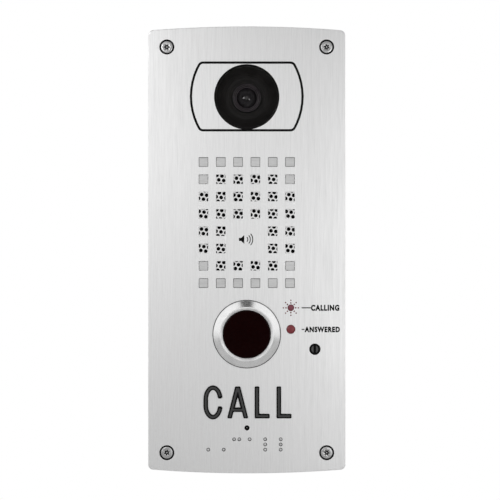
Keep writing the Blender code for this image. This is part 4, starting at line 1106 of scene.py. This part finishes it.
def make_security_screws():
    """Countersunk screws with a six-lobed socket round a centre pin. The socket's floor and walls are near black
    as painted shade.
    """
    top = FRONT - 0.28
    socket_floor, head_low, shank_end = top - 1.1, top - 0.3, top - 20.0
    head_radius, shank_radius = 2.85, 1.75
    bm = bmesh.new()
    slab(bm, [(circle(head_radius, sides=96), 0.22, 0), (star_outline(96), 0.05, 0)], top - 1.2, top, 3)
    profile = [
        (1.2, shank_end),
        (shank_radius, shank_end + 1.2),
        (shank_radius, head_low - 1.6),
        (head_radius - 0.01, head_low),
    ]
    first, _ = loft(bm, [[(x, y, out) for x, y in circle(r, sides=48)] for r, out in profile])
    bm.faces.new(list(reversed(first)))
    floor_faces = len(bm.faces)
    slab(bm, [(circle(1.7, sides=32), 0, 0)], socket_floor - 0.4, socket_floor)
    pin_faces = len(bm.faces)
    add_pin(bm, 0.42, socket_floor, top - 0.12)
    bm.faces.ensure_lookup_table()
    # the socket's floor and walls take the near-black metal: painted shade
    for k, face in enumerate(bm.faces):
        face.normal_update()
        middle = face.calc_center_median()
        in_socket = middle.xy.length < 1.6 and abs(face.normal.z) < 0.3 and middle.z > top - 1.3
        face.material_index = 2 if k >= pin_faces else 1 if k >= floor_faces or in_socket else 0
    materials = [SCREW_METAL, SOCKET_PAINTED_SHADE, PIN_METAL]
    at, replaced = SCREW_PLACES[0], SCREWS[:1]
    first_screw = piece("security_screw_star", bm, materials, at, replaces=replaced)
    for k, turn in ((1, 17), (2, 41), (3, 8)):
        name = f"security_screw_star_{k + 1}"
        screw = place(name, first_screw.data, (), SCREW_PLACES[k], replaces=[SCREWS[k]])
        screw.rotation_euler = (0, math.radians(turn), 0)


# ---------------------------------------------------------------- behind the plate
def make_gasket():
    inset = 1.4
    outer = arched_outline(HALF_WIDTH - inset, HALF_HEIGHT - inset, 2.0)
    inner = rounded_box(HOUSING_HIGH.x + 1.1, HOUSING_HIGH.y + 1.0, 6.0)
    holes = [(circle(2.3, at, 32), 0.1, 0.1) for at in SCREW_PLACES]
    bm = bmesh.new()
    slab(bm, [(outer, 0.3, 0.3), (inner, 0.2, 0.2), *holes], 0, 1.1)
    piece("wall_gasket_foam", bm, [FOAM], replaces=("wall_gasket",))


def make_housing():
    half_x, half_y, back, front = HOUSING_HIGH.x, HOUSING_HIGH.y, HOUSING_LOW.z, HOUSING_HIGH.z
    wall, clearance = HOUSING_WALL, 0.3
    ports = []
    for node in ("ethernet_jack", "terminal_block"):
        low, high = node_box(node)
        half = ((high.x - low.x) / 2 + clearance, (high.y - low.y) / 2 + clearance)
        ports.append((filleted(box_corners(*half, node_centre(node)), 0.6, 4), 0, 0.25))
    posts = [node_centre(f"housing_screw_{k}") for k in range(1, 5)]
    holes = [(circle(1.8, node_centre("reset_button"), 32), 0, 0.3)]
    holes += [(circle(3.2, at, 48), 0, 0.3) for at in posts]
    outside, inside = rounded_box(half_x, half_y, 5.0), rounded_box(half_x - wall, half_y - wall, 3.0)
    post_low, post_high = back + 2.4, -35.7
    bm = bmesh.new()
    slab(bm, [(outside, 0, 1.2), *ports, *holes], back, back + wall + 0.4, 5)
    slab(bm, [(outside, 0.2, 0), (inside, 0.2, 0)], back + wall + 0.3, front)
    for at in posts:
        slab(bm, [(circle(4.0, at, 48), 0, 0), (circle(1.7, at, 32), 0, 0)], post_low, post_high)
    piece("rear_housing_moulded", bm, [HOUSING], replaces=("rear_housing",))
    make_housing_ribs(half_x, half_y, back, ports)


def make_housing_ribs(half_x, half_y, back, ports):
    """Stiffening ribs down the housing's back and sides, and a raised frame round each connector."""
    foot, side_front = back + 0.4, -4.0
    bm = bmesh.new()
    for x in (-26.5, -16.0, 16.0, 26.5):
        slab(bm, [(rounded_box(0.8, 52.0, 0.7, (x, 25.0), 5), 0.0, 0.35)], back - 0.7, foot)
    for y in (-24.5, 25.0, 74.5):
        slab(bm, [(rounded_box(24.5, 0.8, 0.7, (0, y), 5), 0.0, 0.35)], back - 0.55, foot)
    for points, _, _ in ports:
        slab(bm, [(moved(points, 1.7), 0, 0.3), (moved(points, 0.35), 0, 0.15)], back - 0.6, foot)
    reset_at = node_centre("reset_button")
    slab(bm, [(circle(3.4, reset_at, 48), 0, 0.25), (circle(1.85, reset_at, 48), 0, 0.2)], back - 0.5, foot)
    for side in (-1, 1):
        for y in (-75.0, -50.0, -25.0, 0.0, 25.0, 50.0, 75.0):
            rib = rounded_box(0.7, 0.9, 0.5, (side * (half_x + 0.1), y), 4)
            slab(bm, [(rib, 0.6, 0.8)], back + 3.0, side_front)
    for side in (-1, 1):
        for x in (-24.0, 0.0, 24.0):
            rib = rounded_box(0.9, 0.7, 0.5, (x, side * (half_y + 0.1)), 4)
            slab(bm, [(rib, 0.6, 0.8)], back + 3.0, side_front)
    piece("rear_housing_ribs", bm, [HOUSING])


def make_jack_details():
    """The jack's eight sprung contacts and its two lights."""
    x0, y0 = node_centre("ethernet_jack")
    back = node_box("ethernet_jack")[0].z
    path = [(y0 + 4.5, back + 2.5), (y0 + 3.2, back + 5.0), (y0 + 1.0, back + 9.5), (y0 + 0.6, back + 11.6)]
    half_x, half_y = 0.2, 0.1
    contacts = bmesh.new()
    for k in range(8):
        x = x0 + (k - 3.5) * 1.02
        loops = [[(px, py, out) for px, py in box_corners(half_x, half_y, (x, y))] for y, out in path]
        first, last = loft(contacts, loops)
        contacts.faces.new(list(reversed(first)))
        contacts.faces.new(last)
    piece("jack_contacts", contacts, [GOLD])

    lights = bmesh.new()
    for side in (-1, 1):
        lamp = rounded_box(1.3, 0.65, 0.2, (x0 + side * 5.9, y0 - 5.9), 3)
        slab(lights, [(lamp, 0, 0.15)], back - 0.12, back + 0.3)
    piece("jack_lights", lights, [GREEN_PLASTIC])


def make_terminal_details():
    """The terminal block's levers and wire clamps."""
    x0, y0 = node_centre("terminal_block")
    back = node_box("terminal_block")[0].z
    levers, clamps = bmesh.new(), bmesh.new()
    for k in range(TERMINAL_POLES):
        x = x0 + (k - (TERMINAL_POLES - 1) / 2) * TERMINAL_PITCH
        slab(levers, [(rounded_box(1.05, 0.65, 0.25, (x, y0 + 2.4), 4), 0, 0.25)], back - 0.45, back + 2.6)
        slab(clamps, [(rounded_box(1.3, 0.5, 0.2, (x, y0 - 1.1), 3), 0, 0.1)], back + 2.2, back + 3.0)
    piece("terminal_levers", levers, [WHITE_PLASTIC])
    piece("terminal_clamps", clamps, [ZINC])


# ---------------------------------------------------------------- CAD nodes that stay
MATERIAL_OF_SLOT = {
    "brushed_steel": STEEL,
    "perforated_steel": SHEET_STEEL,
    "turned_steel": TURNED,
    "screw_steel": SCREW_METAL,
    "zinc_plate": ZINC,
    "brass": BRASS,
    "letter_black": LETTER_TOP,
    "black_plastic": HOUSING,
    "black_foam": FOAM,
    "black_rubber": RUBBER,
    "smoked_window": WINDOW,
    "lens_glass": COATED_GLASS,
    "button_red": BUTTON_RED,
    "led_red": LED_RED,
    "sensor_grey": SENSOR_GREY,
    "acoustic_cloth": CLOTH,
    "cone_paper": PAPER,
    "ferrite": FERRITE,
    "aluminium": ALUMINIUM,
    "circuit_board": BOARD,
    "connector_green": GREEN_PLASTIC,
    "reset_cap": WHITE_PLASTIC,
}
SHARP_EDGED = {"ethernet_jack", "terminal_block", "reset_button", "heat_sink", "poe_transformer"}
SHARP_EDGED |= {f"housing_screw_{k}" for k in range(1, 5)} | {f"standoff_{k}" for k in range(1, 5)}


def finish_cad_nodes():
    """Every CAD node gets its slot's material and a weld; the sharp-edged ones also get softened edges and
    weighted normals.
    """
    for entry in frame["record"]["subparts"]:
        node = frame["nodes"][entry["node"]]
        node.data.materials.clear()
        node.data.materials.append(MATERIAL_OF_SLOT[entry["material_slot"]])
        weld = node.modifiers.new("Weld", "WELD")
        weld.merge_threshold = 0.00001
        if entry["node"] in SHARP_EDGED:
            edge = node.modifiers.new("Edges", "BEVEL")
            edge.width = 0.00018
            edge.segments = 2
            edge.limit_method = "ANGLE"
            edge.angle_limit = math.radians(40)
            edge.harden_normals = False
            normals = node.modifiers.new("Weighted normals", "WEIGHTED_NORMAL")
            normals.keep_sharp = True


# ---------------------------------------------------------------- studio
FRONT_LEVEL = 0.30
SIDE_LEVEL = 1.0
DARK_CONE = 0.10
VIEW_WIDTH = 241.5  # what the picture's width covers at the plate's front
CAMERA_DISTANCE = 1.2  # metres


def make_world():
    """A white studio. Behind the camera and in a strip overhead it is dark, as shiny surfaces show."""
    world = bpy.data.worlds.new("studio")
    bpy.context.scene.world = world
    world.use_nodes = True
    n = Nodes(world.node_tree)
    background = n.tree.nodes["Background"]

    def step(value, low, high, first, last):
        return n.ranged(value, first, last, low, high, smooth=True)

    split = n.node("ShaderNodeSeparateXYZ")
    n.link(n.node("ShaderNodeTexCoord").outputs["Generated"], split.inputs["Vector"])
    x, y, z = split.outputs
    off_level = n.math("ABSOLUTE", n.math("SUBTRACT", z, 0.015), 0)
    above = n.math("MAXIMUM", n.math("SUBTRACT", off_level, 0.05), 0.0)
    squares = n.math("ADD", n.math("MULTIPLY", x, x), n.math("MULTIPLY", above, above))
    off_axis = n.math("SQRT", squares, 0)
    in_front = step(y, -0.5, -0.4, 0.0, 1.0)
    behind_camera = step(n.math("ADD", off_axis, in_front), 0.045, 0.095, DARK_CONE, 1.0)
    across = n.math("DIVIDE", n.math("ABSOLUTE", x, 0), n.math("MAXIMUM", z, 0.001))
    in_strip = step(across, math.tan(math.radians(10)), math.tan(math.radians(14)), 1.0, 0.0)
    forward = step(y, -0.62, -0.5, 0.0, 1.0)
    not_back = step(y, 0.1, 0.3, 1.0, 0.0)
    strip = n.math("MULTIPLY", in_strip, n.math("MULTIPLY", forward, not_back))
    walls = step(y, -math.cos(math.radians(30)), -math.cos(math.radians(55)), FRONT_LEVEL, SIDE_LEVEL)
    overhead = n.math("SUBTRACT", 1.0, n.math("MULTIPLY", strip, 0.94))
    lower = step(z, -0.45, 0.2, 0.62, 1.05)
    dark_parts = n.math("MULTIPLY", behind_camera, overhead)
    level = n.math("MULTIPLY", dark_parts, n.math("MULTIPLY", walls, lower))
    strength = n.node("ShaderNodeMix", data_type="FLOAT")
    n.link(n.node("ShaderNodeLightPath").outputs["Is Camera Ray"], strength.inputs[0])
    n.link(level, strength.inputs[2])
    strength.inputs[3].default_value = 1.0
    n.link(strength.outputs[0], background.inputs["Strength"])
    background.inputs["Color"].default_value = (1, 1, 1, 1)


def make_floor():
    bm = bmesh.new()
    bmesh.ops.create_grid(bm, x_segments=1, y_segments=1, size=2.2)
    mesh = bpy.data.meshes.new("floor")
    bm.to_mesh(mesh)
    bm.free()
    shader = Shader("floor_pale", grey(0.55), 0.8)
    shader.set_colour(shader.mixed(shader.noise(3, 2.0), grey(0.53), grey(0.57)))
    mesh.materials.append(shader.material)
    floor = bpy.data.objects.new("floor", mesh)
    bpy.context.scene.collection.objects.link(floor)
    floor.location = (0, 0, -0.42)


def area_light(name, at, target, size, watts):
    light = bpy.data.lights.new(name, "AREA")
    light.shape = "RECTANGLE"
    light.size, light.size_y = size
    light.energy = watts
    obj = bpy.data.objects.new(name, light)
    bpy.context.scene.collection.objects.link(obj)
    obj.location = at
    obj.rotation_euler = (Vector(target) - Vector(at)).to_track_quat("-Z", "Y").to_euler()


def make_lights_and_camera():
    area_light("softbox_left", (-0.30, -0.9, 0.14), (0, 0, 0), (0.2, 0.2), 1.0)
    area_light("softbox_right", (0.27, -0.9, -0.02), (0, 0, 0), (0.2, 0.2), 0.70)
    camera = bpy.data.cameras.new("camera")
    camera.sensor_width = 36
    camera.lens = camera.sensor_width * (CAMERA_DISTANCE - FRONT * MM) / (VIEW_WIDTH * MM)
    camera.clip_start, camera.clip_end = 0.01, 50
    obj = bpy.data.objects.new("camera", camera)
    bpy.context.scene.collection.objects.link(obj)
    obj.location = (0.00157, -CAMERA_DISTANCE, -0.00007)
    obj.rotation_euler = (math.pi / 2, 0, 0)
    bpy.context.scene.camera = obj
    bpy.context.scene.view_settings.view_transform = "Standard"


finish_cad_nodes()
make_faceplate()
make_blind_squares()
make_braille()
make_countersinks()
make_camera_border()
make_letters()
make_print()
make_pictogram()
make_camera_window()
make_camera_cup()
make_lens()
make_grille_sheet()
make_bezel()
make_button()
make_spring()
make_lights()
make_sensor()
make_microphone()
make_security_screws()
make_gasket()
make_housing()
make_jack_details()
make_terminal_details()
make_world()
make_floor()
make_lights_and_camera()
